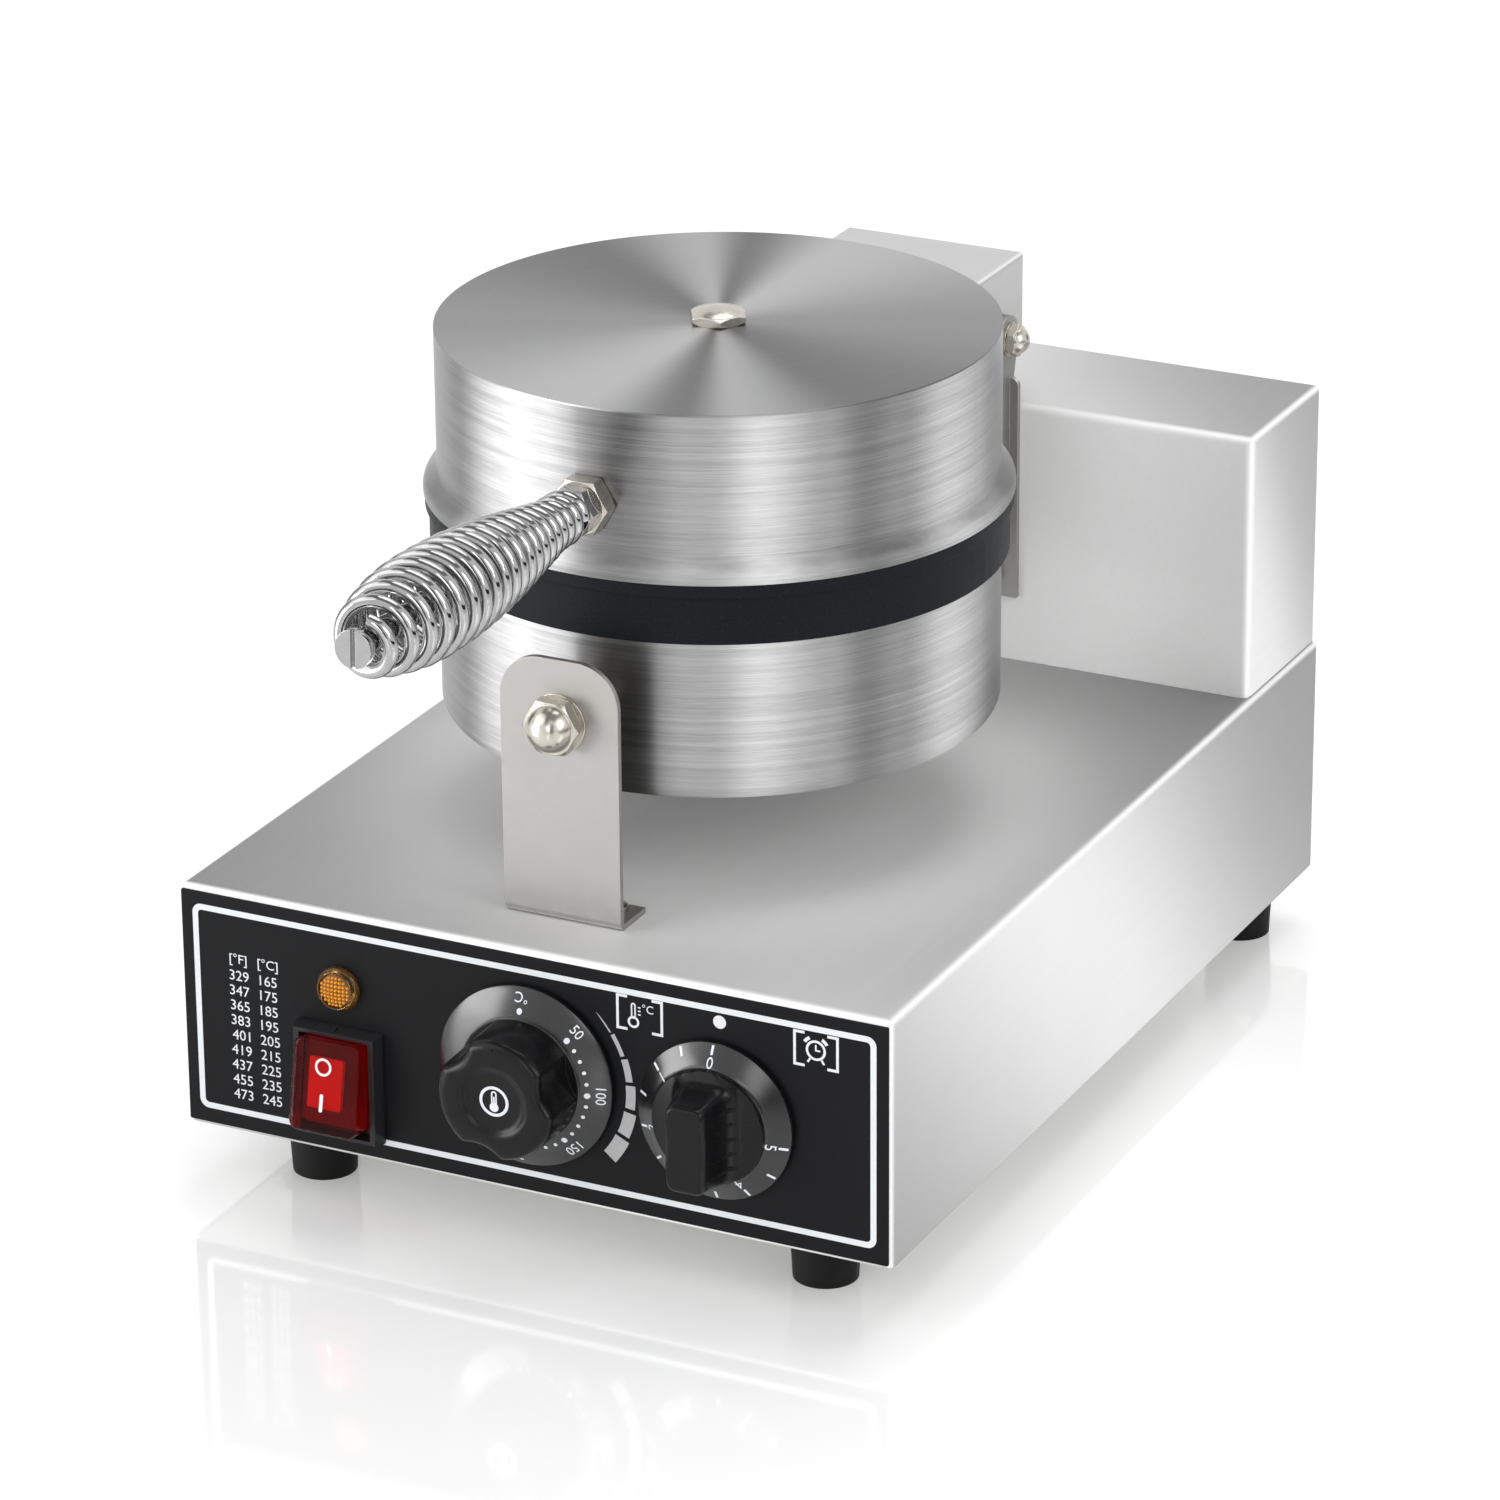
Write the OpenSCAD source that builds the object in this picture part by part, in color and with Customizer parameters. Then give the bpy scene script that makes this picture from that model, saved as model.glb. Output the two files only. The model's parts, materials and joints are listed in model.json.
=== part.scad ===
// Counter-top waffle cone maker: folded steel base with a control panel, a fixed lower
// baking head, a hinged upper head with a coil-spring handle, and a rear wiring housing.
// Millimetres. X to the right, Y to the rear, Z up; the feet stand on Z = 0.

/* [Base] */
// Width of the folded base
base_w = 250; // [240:1:300]
// Depth of the folded base
base_d = 348; // [340:1:380]
// Height of the folded base without its feet
base_h = 83.5; // [82:0.5:110]
// Thickness of the folded sheet
sheet_t = 1.2; // [0.8:0.1:1.5]
// Outside radius of the folds
bend_r = 3; // [2.5:0.5:5]
// Thickness of the bottom plate
bottom_t = 1.5; // [1:0.5:3]
// Width of the folded edges that screws go through
flange_w = 12; // [11:1:20]

/* [Feet] */
// Height of a rubber foot
foot_h = 21; // [16:1:30]
// Diameter of a foot at the base
foot_top_d = 23.4; // [21:0.1:28]
// Diameter of a foot at the floor
foot_low_d = 21; // [18:0.5:28]
// Distance of a front foot's centre from the base's side
foot_side = 35; // [26:1:45]
// Distance of a front foot's centre from the base's front
foot_end = 26; // [24:1:45]
// Distance of a rear foot's centre from the base's back
rear_foot_end = 20; // [18:1:45]

/* [Rear housing] */
// Depth of the rear housing
housing_d = 61; // [50:1:62]
// Height of the rear housing above the base
housing_h = 93.5; // [80:0.5:95]
// How far the housing stands in from the base's side
housing_in = 1.5; // [1:0.5:6]

/* [Baking head] */
// Outside radius of both steel shells
head_r = 90.5; // [86:0.5:94]
// Wall of both steel shells
shell_t = 1; // [0.6:0.1:1.5]
// Clear height under the lower shell
head_rise = 36; // [25:1:50]
// Height of the lower shell
lower_h = 53.6; // [50:0.2:60]
// Height of the lower plate's rim, seen as the dark band
lower_rim_h = 15.4; // [13:0.2:20]
// How far the lower rim stands out past the shell
lower_rim_out = 2.7; // [1:0.1:4]
// Gap between the closed plates' rims
plate_gap = 0.3; // [0.3:0.1:0.6]
// Height of the upper plate's rim
upper_rim_h = 4.4; // [3:0.2:8]
// How far the upper rim stands out past the shell
upper_rim_out = 4; // [2:0.1:5]
// Height of the upper shell
lid_h = 54; // [50:1:64]
// How far the upper shell's skirt flares out
flare_out = 4.5; // [3:0.1:5]
// Height of the flare
flare_h = 7.5; // [5:0.5:12]
// Height of the straight lip under the flare
lip_h = 1.4; // [0.8:0.1:2]

/* [Baking plates] */
// Radius of the baking surface
bake_r = 84; // [76:1:85]
// Depth of the lower plate's recess
lower_recess = 2.2; // [1.8:0.1:3]
// Depth of the upper plate's recess
upper_recess = 1.2; // [1:0.1:2]
// Distance between the pattern's lines
grid_pitch = 12; // [10:0.5:20]
// Width of a pattern line
grid_w = 2.2; // [1.5:0.1:4]
// Height of a lower pattern line
lower_grid_h = 1.2; // [0.6:0.1:1.6]
// Height of an upper pattern line
upper_grid_h = 0.8; // [0.4:0.1:0.9]
// Thickness of each casting behind its rim
cast_t = 8; // [7:0.5:10]
// Radius of a heating element's ring
element_r = 58; // [45:1:68]
// Diameter of a heating element's tube
element_d = 8; // [6.5:0.5:9]

/* [Handle] */
// Height of the handle under the upper shell's top
handle_drop = 31; // [24:1:36]
// Upward slope of the handle, in degrees
handle_tilt = 1.5; // [0:0.5:6]
// Length of the coil grip
grip_len = 132; // [110:1:150]
// Number of coils in the grip
coils = 24; // [18:1:26]
// Diameter of the grip's wire
wire_d = 4.6; // [3.8:0.1:4.8]
// Radius of the grip next to the shell
grip_start_r = 7; // [6.8:0.1:9]
// Greatest radius of the grip
grip_max_r = 17; // [14:0.5:20]
// Radius of the grip at its tip
grip_end_r = 9; // [8.8:0.1:12]
// Diameter of the handle's rod
rod_d = 8; // [6:0.5:8.4]

/* [Hinge] */
// Width over the moving hinge cover
cover_w = 65.8; // [60:0.2:68]
// Height of the hinge cover's top under the upper shell's top
cover_drop = 21.7; // [18:0.1:26]
// How far the hinge cover reaches behind the hinge axis
cover_back = 18; // [15:0.5:20]
// How far the hinge cover reaches below the hinge axis
cover_low = 10; // [8:0.5:11]
// Distance of the hinge axis in front of the housing
hinge_front = 3; // [2:0.5:6]
// Height of the hinge axis above the upper shell's lip
hinge_rise = 7; // [5:0.5:9]
// Diameter of the hinge pin
pin_d = 6; // [5:0.5:7]
// Thickness of the fixed hinge bracket
bracket_t = 2; // [1.5:0.1:2.5]
// Gap on each side between the hinge cover and the fixed ears
ear_gap = 0.5; // [0.4:0.1:1]
// How far the bracket's back plate stands out past each ear
shoulder_w = 3.1; // [2:0.1:5]

/* [Front bracket] */
// Width of the front bracket
front_w = 41; // [34:1:50]
// Distance of the front bracket behind the base's front
front_y = 24; // [18:1:30]
// Thickness of the front bracket
front_t = 2; // [1.5:0.1:2.5]
// Height of the front bracket above the base
front_h = 88; // [86:1:92]
// Height of its bolt above the base
bolt_rise = 67.5; // [64:0.5:70]
// Depth of its foot on the base
front_foot = 17; // [14:1:19]
// Length of the spacer between bracket and lower shell
spacer_len = 20; // [16:0.5:26]
// Diameter of the front bolt
bolt_d = 10; // [8:1:10]

/* [Controls] */
// Thickness of the printed front panel
panel_t = 0.6; // [0.4:0.1:1.2]
// Distance of the thermostat's axis from the middle
thermostat_x = 0; // [-6:1:2]
// Height of the thermostat's axis above the base's underside
thermostat_z = 41.7; // [36:0.1:44]
// Diameter of the thermostat's dial
thermostat_d = 61; // [54:1:64]
// Diameter of the thermostat's grip
thermostat_grip_d = 41; // [34:1:44]
// Distance of the timer's axis from the base's right side
timer_in = 59; // [45:1:61]
// Height of the timer's axis above the base's underside
timer_z = 39.7; // [34:0.1:44]
// Diameter of the timer's dial
timer_d = 53; // [48:1:56]
// Width of the timer's grip bar
timer_bar_w = 15; // [11:1:18]
// How far both knobs stand out from the panel
knob_out = 24; // [20:0.5:28]
// Diameter of both control shafts
shaft_d = 6; // [5:0.5:8]
// Distance of the switch and lamp from the base's left side
switch_in = 58; // [49:1:71]
// Height of the switch's middle above the base's underside
switch_z = 25.8; // [23:0.1:28]
// Width of the switch's frame
switch_w = 30.2; // [29:0.1:34]
// Height of the switch's frame
switch_h = 38; // [36:0.5:40]
// Width of the rocker
rocker_w = 24; // [20:0.5:24.5]
// Length of the rocker
rocker_l = 30.4; // [27:0.1:31]
// Tilt of the rocker to each side, in degrees
rocker_tilt = 11; // [8:1:12]
// Height of the lamp above the base's underside
lamp_z = 58; // [56:0.5:66]
// Diameter of the lamp's lens
lamp_d = 14.8; // [12:0.1:18]

/* [Cable gland] */
// Distance of the gland from the base's right side
gland_in = 55; // [35:1:85]
// Height of the gland above the base's underside
gland_z = 40; // [26:1:56]
// Bore of the gland
gland_bore = 9; // [6:0.5:11]
// How far the gland stands out behind the base
gland_out = 20; // [14:1:26]

/* [Hidden] */
$fn = 64;

// Clearances: parts that run or seat in each other, and holes that screws pass through
fit = 0.05;
pass = 0.3;
slip = 0.2;
eps = 0.01;

// Places of the controls and the gland across the base
timer_x = base_w / 2 - timer_in;
switch_x = switch_in - base_w / 2;
gland_x = base_w / 2 - gland_in;

// Lengths of the sheet screws
bottom_screw_len = 9;
housing_screw_len = 8;
cover_screw_len = 7;
bracket_screw_len = 9;

// Terminal block: place of its corner, size and pitch of its poles
block_x = 80;
block_back = 60;
block_w = 22;
block_h = 18;
pole_pitch = 10.8;

// Levels above the base's underside
low_z = base_h + head_rise;
rim_z = low_z + lower_h;
part_z = rim_z + lower_rim_h;
up_z = part_z + plate_gap;
lid_z = up_z + upper_rim_h;
lid_top = lid_z + lid_h;
housing_top = base_h + housing_h;
handle_z = lid_top - handle_drop;
hinge_z = lid_z + hinge_rise;
cover_top = lid_top - cover_drop;
cover_z = hinge_z - cover_low;
bolt_z = base_h + bolt_rise;

// Places behind the base's front
spacer_y = front_y + front_t;
shell_front = spacer_y + spacer_len;
head_y = shell_front + head_r;
shell_back = head_y + head_r;
housing_y = base_d - housing_d;
hinge_y = housing_y - hinge_front;
plate_y = housing_y - bracket_t;
cover_y = hinge_y + cover_back;

// Colours
steel = [0.80, 0.80, 0.81];
satin = [0.70, 0.70, 0.69];
nickel = [0.72, 0.69, 0.62];
chrome_c = [0.85, 0.86, 0.88];
iron = [0.05, 0.06, 0.08];
black = [0.06, 0.06, 0.07];
rubber_c = [0.03, 0.03, 0.03];
brass_c = [0.80, 0.65, 0.30];
wool = [0.85, 0.82, 0.74];
amber = [0.85, 0.45, 0.08, 0.8];
ruby = [0.75, 0.08, 0.07, 0.85];

// Screws, studs and their nuts
m4 = 4;
m5 = 5;
m6 = 6;
stud_d = 8;
hole_reach = 10;
function head_d(d) = 1.9 * d;
function head_h(d) = 0.6 * d;
function nut_af(d) = 1.6 * d + 0.6;
function nut_h(d) = 0.8 * d;

// Base and housing
housing_w = base_w - 2 * housing_in;
panel_w = base_w - 2;
panel_low = 1;
panel_h = base_h - 2.9;
panel_corner_r = 0.6;
flange_mid = sheet_t + flange_w / 2;
flange_in = flange_mid + (flange_w + sheet_t) / 2;
rear_foot_side = flange_in + nut_af(m5) / sqrt(3) + 0.5;
wire_hole_r = 15;
vent_w = 44;
vent_gap = 4;
vent_pitch = 14;

// Baking heads
spigot_r = head_r - shell_t - slip;
spigot_h = 4;
shell_bend = 4;
floor_z = part_z - lower_recess;
ceiling_z = up_z + upper_recess;
lower_back = floor_z - cast_t;
upper_back = ceiling_z + cast_t;
boss_r = 9;
boss_h = 6;
pin_h = 16;
wool_t = 18;
wool_gap = 13;
bulb_d = 6;
bulb_len = 70;
flare_steps = 12;

// Handle
handle_nut_af = 17;
lid_nut_af = 17;
handle_nut_h = 7;
ferrule_af = 14;
ferrule_h = 6;
tip_h = 3;
tip_r = 6;
rod_inside = 10;
grip_y = handle_nut_h + ferrule_h;
handle_len = grip_y + grip_len + tip_h;
swell = 0.7;
ridge_steps = 6;

// Hinge and rear arm
ear_in = cover_w / 2 + ear_gap;
ear_out = ear_in + bracket_t;
ear_r = 8;
bracket_w = 2 * (ear_out + shoulder_w);
sweep_r = norm([cover_back, cover_low]);
notch_z = hinge_z - sweep_r - 2;
shoulder_drop = 14;
bracket_drop = 44;
bracket_bevel = 12;
screw_above_edge = 9;
screw_above_bolt = 17;
shoulder_z = hinge_z - shoulder_drop;
bracket_low = bolt_z - bracket_drop;
bracket_screws_z = [bracket_low + screw_above_edge, bolt_z + screw_above_bolt];
bracket_screw_x = ear_in - 5.5;
arm_w = 44;
arm_h = 36;
arm_t = 2;
saddle_t = 3;
arm_bolt_x = 13;
arm_bolt_z = bolt_z + 6;
lead_r = 8.5;
barrel_r = 7;
barrel_gap = 0.6;
washer_t = 1;
cap_hex = 3.2;
cap_dome = 3.2;
lid_screw_x = 10;
lid_screw_z = hinge_z + 12.5;
flange_t = 4;
flange_half = 24;
web_t = 4;
web_half = 20;
flange_low = lid_z + lip_h + flare_h + 1;
flange_top = cover_top - sheet_t - 1;

// Front bracket
corner_r = 14;
front_nut_af = bolt_d + 7;
acorn_hex = 0.55 * bolt_d;
acorn_dome = 0.65 * bolt_d;
acorn_reach = 0.9 * bolt_d;

// Controls, measured forward from the panel's face
wall_back = panel_t + sheet_t;
bush_r = shaft_d / 2 + 1.8;
bush_out = 2.4;
shaft_in = 16;
shaft_back = wall_back + shaft_in;
shaft_front = knob_out - 6.5;
flat_x = 0.3 * shaft_d;
strap = [14, 10, 1.6];
dial_gap = 0.6;
dial_edge = 2;
dial_top = 6.2;
thermostat_case = [36, 36, 26];
timer_case_d = 42;
timer_case_h = 30;
collar_out = 5.5;
collar_in = 0.8;
collar_edge = 1.2;
parting_w = 0.8;
rocker_front = 12.8;
rocker_side = 2;
rocker_hub = 5;
rocker_play = 0.4;
pivot_r = 1.5;
pivot_len = 1;
rocker_dip = rocker_l / 2 * sin(rocker_tilt);
mouth_half = rocker_l / 2 * cos(rocker_tilt) + (collar_out + rocker_dip) * tan(rocker_tilt) + rocker_play;
throat_half = rocker_l / 2 / cos(rocker_tilt) + rocker_play;
throat_w = rocker_w + 2 * rocker_play;
throat_deep = 9;
can_wall = 1.5;
can_w = throat_w + 2 * can_wall;
can_h = 2 * (throat_half + can_wall);
can_d = 24;
lens_stem_r = lamp_d / 2 - 2.4;
lens_stem_h = 11;
holder_r = lens_stem_r + 1.2;
holder_h = 26;
tab = [0.8, 2.8, 8];
blade = [6.3, 8, 0.8];

// Cable gland
gland_thread_r = gland_bore / 2 + 3;
gland_af = gland_bore + 13;
gland_inside = sheet_t + 9;
gland_hex = 6;
gland_nut_h = 5;

// Extent along Y: the handle's tip in front, the gland behind
y_front = shell_front - handle_len * cos(handle_tilt) - tip_r * sin(handle_tilt);
y_back = base_d + gland_out;
y_mid = (y_front + y_back) / 2;

// ---- Placing ----

// Moves a piece from the base's front lower edge to the part's own origin
module seat() translate([0, -y_mid, foot_h]) children();

// Turns a piece so that its Z axis points out of the front panel at (x, z)
module on_panel(x, z) translate([x, -panel_t, z]) rotate([90, 0, 0]) children();

// Turns a piece so that its Z axis points to the rear or the front, from (x, y, z)
module rearward(x, y, z) translate([x, y, z]) rotate([-90, 0, 0]) children();
module forward(x, y, z) translate([x, y, z]) rotate([90, 0, 0]) children();

// Turns a piece so that its Z axis runs to the right along the hinge
module on_hinge() translate([0, hinge_y, hinge_z]) rotate([0, 90, 0]) children();

// Turns a piece so that its Z axis runs out along the handle
module on_handle() translate([0, shell_front, handle_z]) rotate([90 - handle_tilt, 0, 0]) children();

// Stands a piece on the axis of the baking heads
module on_head(z) translate([0, head_y, z]) children();

// Places that repeat
module at_feet() for (sx = [-1, 1], at = [[foot_side, foot_end], [rear_foot_side, base_d - rear_foot_end]])
    translate([sx * (base_w / 2 - at.x), at.y, 0]) children();
module at_bottom_screws() for (sx = [-1, 1], k = [0.14, 0.5, 0.86])
    translate([sx * (base_w / 2 - flange_mid), base_d * k, 0]) children();
module at_housing_screws() for (sx = [-1, 1], k = [0.3, 0.7])
    translate([sx * (housing_w / 2 - flange_mid), housing_y + housing_d * k, base_h]) children();
module at_cover_screws() for (sx = [-1, 1], k = [0.15, 0.5, 0.85])
    rearward(sx * (housing_w / 2 - flange_mid), base_d, base_h + housing_h * k) children();
module at_front_screws() for (sx = [-1, 1])
    translate([sx * 0.3 * front_w, front_y + front_foot * 0.62, base_h]) children();
module at_bracket_screws() for (sx = [-1, 1], z = bracket_screws_z)
    forward(sx * bracket_screw_x, plate_y, z) children();
module at_arm_bolts() for (sx = [-1, 1]) rearward(sx * arm_bolt_x, shell_back, arm_bolt_z) children();
module at_lid_screws() for (sx = [-1, 1]) rearward(sx * lid_screw_x, shell_back, lid_screw_z) children();

// ---- Shapes that repeat ----

// Rectangle centred on the origin with four round corners
module rounded(w, h, r) {
    square([w - 2 * r, h], center = true);
    square([w, h - 2 * r], center = true);
    for (sx = [-1, 1], sy = [-1, 1]) translate([sx * (w / 2 - r), sy * (h / 2 - r)]) circle(r);
}

// Rectangle that stands on Y = 0 with two round upper corners
module arch(w, h, r) {
    translate([-w / 2, 0]) square([w, h - r]);
    translate([-w / 2 + r, 0]) square([w - 2 * r, h]);
    for (sx = [-1, 1]) translate([sx * (w / 2 - r), h - r]) circle(r);
}

// Right half of a drum's outline with a round lower edge
module drum(r, h, c) {
    square([r - c, h]);
    translate([0, c]) square([r, h - c]);
    translate([r - c, c]) circle(c);
}

// Solid block with rounded upper and upright edges, from Y = 0 to d
module folded(w, d, h, r) {
    intersection() {
        translate([0, d, 0]) rotate([90, 0, 0]) linear_extrude(d) arch(w, h, r);
        translate([-w / 2, d / 2, 0]) rotate([90, 0, 90]) linear_extrude(w) arch(d, h, r);
        linear_extrude(h) translate([0, d / 2]) rounded(w, d, r);
    }
}

// Space inside a folded block of the same size, open below; open behind too if d is made longer
module hollow(w, d, h, r, t, longer) {
    translate([0, t, -eps]) folded(w - 2 * t, d - 2 * t + longer, h - t + eps, r - t);
}

// Solid cylinder between two heights
module rod(r, low, high) translate([0, 0, low]) cylinder(r = r, h = high - low);

// Washer or tube that stands on Z = 0
module ring(r_out, r_in, h) difference() {
    cylinder(r = r_out, h = h);
    rod(r_in, -1, h + 1);
}

// Clearance hole on both sides of Z = 0 for a screw of diameter d
module screw_hole(d) rod(d / 2 + slip / 2, -hole_reach, hole_reach);

// Hexagonal block with chamfered corners
module hex_block(af, h) {
    corner = af / cos(30) / 2;
    cut = (corner - af / 2) * 0.6;
    intersection() {
        cylinder(r = corner, h = h, $fn = 6);
        rotate_extrude() polygon(
            [[0, 0], [af / 2, 0], [corner, cut], [corner, h - cut], [af / 2, h], [0, h]]);
    }
}

// Hexagonal nut on a thread of diameter d
module hex_nut(af, h, d) difference() {
    hex_block(af, h);
    rod(d / 2 + fit, -1, h + 1);
}

// Domed nut with a blind bore for a thread of diameter d
module cap_nut(af, hex_h, dome_h, d, bore_h) {
    a = af * 0.46;
    ball = (a * a + dome_h * dome_h) / (2 * dome_h);
    difference() {
        union() {
            hex_block(af, hex_h);
            intersection() {
                translate([0, 0, hex_h + dome_h - ball]) sphere(ball);
                rod(a, hex_h / 2, hex_h + 2 * dome_h);
            }
        }
        rod(d / 2 + fit, -1, bore_h);
    }
}

// Cross-head screw: the head stands on Z = 0 and the shank reaches down
module pan_screw(d, len) {
    ball = 1.2 * head_d(d);
    difference() {
        union() {
            rod(d / 2, -len, eps);
            intersection() {
                cylinder(d = head_d(d), h = head_h(d));
                translate([0, 0, head_h(d) - ball]) sphere(ball);
            }
        }
        for (turn = [0, 90]) rotate([0, 0, turn]) translate([0, 0, head_h(d)])
            cube([0.6 * head_d(d), 0.16 * head_d(d), head_h(d)], center = true);
    }
}

// ---- Base ----

// Folded steel wrapper, open below, with screw flanges along both sides
module base_shell() color(steel) seat() difference() {
    union() {
        difference() {
            folded(base_w, base_d, base_h, bend_r);
            hollow(base_w, base_d, base_h, bend_r, sheet_t, 0);
            forward(0, base_d + 1, -eps) linear_extrude(base_d + 2) end_outline(0);
        }
        for (sx = [-1, 1])
            translate([sx * (base_w / 2 - flange_mid), base_d / 2, bottom_t + sheet_t / 2])
                cube([flange_w + sheet_t, base_d - 4 * bend_r, sheet_t], center = true);
    }
    at_bottom_screws() screw_hole(m4);
    at_housing_screws() screw_hole(m4);
    at_front_screws() screw_hole(m5);
    translate([0, housing_y + housing_d / 2, base_h]) rod(wire_hole_r, -hole_reach, hole_reach);
}

// Outline of the front and back walls between the wrapper's bends, smaller by a clearance
module end_outline(gap) translate([gap - base_w / 2 + bend_r, 0])
    square([base_w - 2 * bend_r - 2 * gap, base_h - bend_r - gap]);

// Front wall behind the printed panel
module base_front() color(steel) seat() difference() {
    forward(0, sheet_t, 0) linear_extrude(sheet_t) end_outline(fit);
    front_cuts();
}

// Back wall with the gland's hole
module base_back() color(steel) seat() difference() {
    forward(0, base_d, 0) linear_extrude(sheet_t) end_outline(fit);
    rearward(gland_x, base_d, gland_z) screw_hole(2 * gland_thread_r);
}

// Openings through the front wall and the printed panel
module front_cuts() {
    translate([switch_x, 0, switch_z])
        cube([can_w + 2 * slip, 2 * hole_reach, can_h + 2 * slip], center = true);
    on_panel(switch_x, lamp_z) screw_hole(2 * holder_r);
    on_panel(thermostat_x, thermostat_z) screw_hole(2 * bush_r + slip);
    on_panel(timer_x, timer_z) screw_hole(2 * bush_r + slip);
}

// Flat plate that closes the base, with rows of vent slots
module base_bottom() color(satin) seat() difference() {
    edge = sheet_t + slip;
    translate([edge - base_w / 2, edge, 0]) cube([base_w - 2 * edge, base_d - 2 * edge, bottom_t]);
    for (sx = [-1, 1], k = [-4:4])
        translate([sx * (vent_w / 2 + 3 * vent_gap), base_d / 2 + k * vent_pitch, bottom_t / 2])
            cube([vent_w, vent_gap, bottom_t + 2], center = true);
    at_feet() screw_hole(m5);
    at_bottom_screws() screw_hole(m4);
}

// Six screws that hold the bottom plate to the flanges
module bottom_screws() color(nickel) seat() at_bottom_screws() rotate([180, 0, 0])
    pan_screw(m4, bottom_screw_len);

// Four tapered feet with a recess for the screw's head
module rubber_feet() color(rubber_c) seat() at_feet() translate([0, 0, -foot_h]) difference() {
    cylinder(d1 = foot_low_d, d2 = foot_top_d, h = foot_h);
    rod(head_d(m5) / 2 + 0.8, -1, foot_h / 2);
    rod(m5 / 2 + slip / 2, 0, foot_h + 1);
}

// Four screws through the feet, each with its nut inside the base
module foot_screws() color(nickel) seat() at_feet() {
    translate([0, 0, -foot_h / 2]) rotate([180, 0, 0]) pan_screw(m5, foot_h / 2 + bottom_t + m5 + 1);
    translate([0, 0, bottom_t]) hex_nut(nut_af(m5), nut_h(m5), m5);
}

// Printed plate on the base's front
module control_panel() color(black) seat() difference() {
    forward(0, 0, panel_low + panel_h / 2) linear_extrude(panel_t)
        rounded(panel_w, panel_h, panel_corner_r);
    front_cuts();
}

// ---- Controls ----

// Amber lens with a stepped face
module lamp_lens() color(amber) seat() on_panel(switch_x, lamp_z) rotate_extrude() polygon([
    [0, -lens_stem_h], [lens_stem_r, -lens_stem_h], [lens_stem_r, 0], [lamp_d / 2, 0],
    [lamp_d / 2, 1.8], [lamp_d / 2 - 1, 2.6], [lamp_d / 2 - 1.4, 4], [lamp_d / 2 - 2.2, 4.6], [0, 4.9]]);

// Lamp holder with its retaining ring and two tabs
module lamp_body() color(black) seat() on_panel(switch_x, lamp_z) {
    difference() {
        union() {
            rod(holder_r, -holder_h, -slip);
            rod(holder_r + 2.4, -wall_back - 3, -wall_back);
        }
        rod(lens_stem_r + fit, -lens_stem_h - slip, 1);
    }
    for (sx = [-1, 1]) translate([sx * 2.5 - tab.x / 2, -tab.y / 2, -holder_h - tab.z])
        cube([tab.x, tab.y, tab.z + eps]);
}

// Frame of the switch: a tapered collar in front and the case behind
module switch_frame() color(black) seat() translate([switch_x, -panel_t, switch_z]) difference() {
    union() {
        collar(switch_w, switch_h);
        translate([-can_w / 2, 0, -can_h / 2]) cube([can_w, can_d, can_h]);
    }
    translate([-throat_w / 2, -collar_out - 1, -mouth_half])
        cube([throat_w, collar_out + 1, 2 * mouth_half]);
    translate([-throat_w / 2, -1, -throat_half]) cube([throat_w, throat_deep + 1, 2 * throat_half]);
    for (sz = [-1, 1]) translate([0, -collar_out, sz * switch_h / 2])
        cube([parting_w, 2 * (collar_out - collar_edge), 2 * collar_in], center = true);
    rotate([0, 90, 0])
        cylinder(r = pivot_r + fit, h = throat_w + 2 * pivot_len + 0.6, center = true, $fn = 32);
}

// Rectangular collar that tapers forward
module collar(w, h) {
    intersection() {
        translate([0, 0, -h / 2]) linear_extrude(h) collar_side(w);
        translate([-w / 2, 0, 0]) rotate([90, 0, 90]) linear_extrude(w)
            rotate(90) mirror([0, 1]) collar_side(h);
    }
}
module collar_side(w) polygon([[-w / 2, 0], [-w / 2, -collar_edge], [collar_in - w / 2, -collar_out],
    [w / 2 - collar_in, -collar_out], [w / 2, -collar_edge], [w / 2, 0]]);

// Four blade terminals behind the switch
module switch_terminals() color(brass_c) seat() for (sx = [-1, 1], sz = [-1, 1])
    translate([switch_x + sx * can_w / 4 - blade.x / 2, can_d - panel_t, switch_z + sz * can_h / 4])
        cube(blade);

// Rocker with its two pivot pins, resting with the upper end pressed
module power_rocker() color(ruby) seat()
    translate([switch_x, -panel_t, switch_z]) rotate([-rocker_tilt, 0, 0]) {
        half = rocker_l / 2;
        translate([-rocker_w / 2, 0, 0]) rotate([90, 0, 90]) linear_extrude(rocker_w) polygon([
            [-rocker_front, -half], [-rocker_side, -half], [rocker_hub, -rocker_hub],
            [rocker_hub, rocker_hub], [-rocker_side, half], [-rocker_front, half]]);
        rotate([0, 90, 0])
            cylinder(r = pivot_r, h = throat_w + 2 * pivot_len, center = true, $fn = 32);
    }

// Bush, mounting strap and shaft bore of a rotary control; children are its case
module control_case(w) difference() {
    union() {
        children();
        rod(bush_r, -wall_back - 2, bush_out);
        translate([0, 0, -wall_back - strap.z / 2]) cube([w + strap.x, strap.y, strap.z], center = true);
    }
    rod(shaft_d / 2 + fit, -shaft_back - 1, bush_out + 1);
}

// Thermostat and timer behind the front wall
module thermostat_body() color(satin) seat() on_panel(thermostat_x, thermostat_z)
    control_case(thermostat_case.x)
        translate([-thermostat_case.x / 2, -thermostat_case.y / 2, -wall_back - thermostat_case.z])
            cube(thermostat_case);
module timer_body() color(satin) seat() on_panel(timer_x, timer_z)
    control_case(timer_case_d) rod(timer_case_d / 2, -wall_back - timer_case_h, -wall_back);

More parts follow.
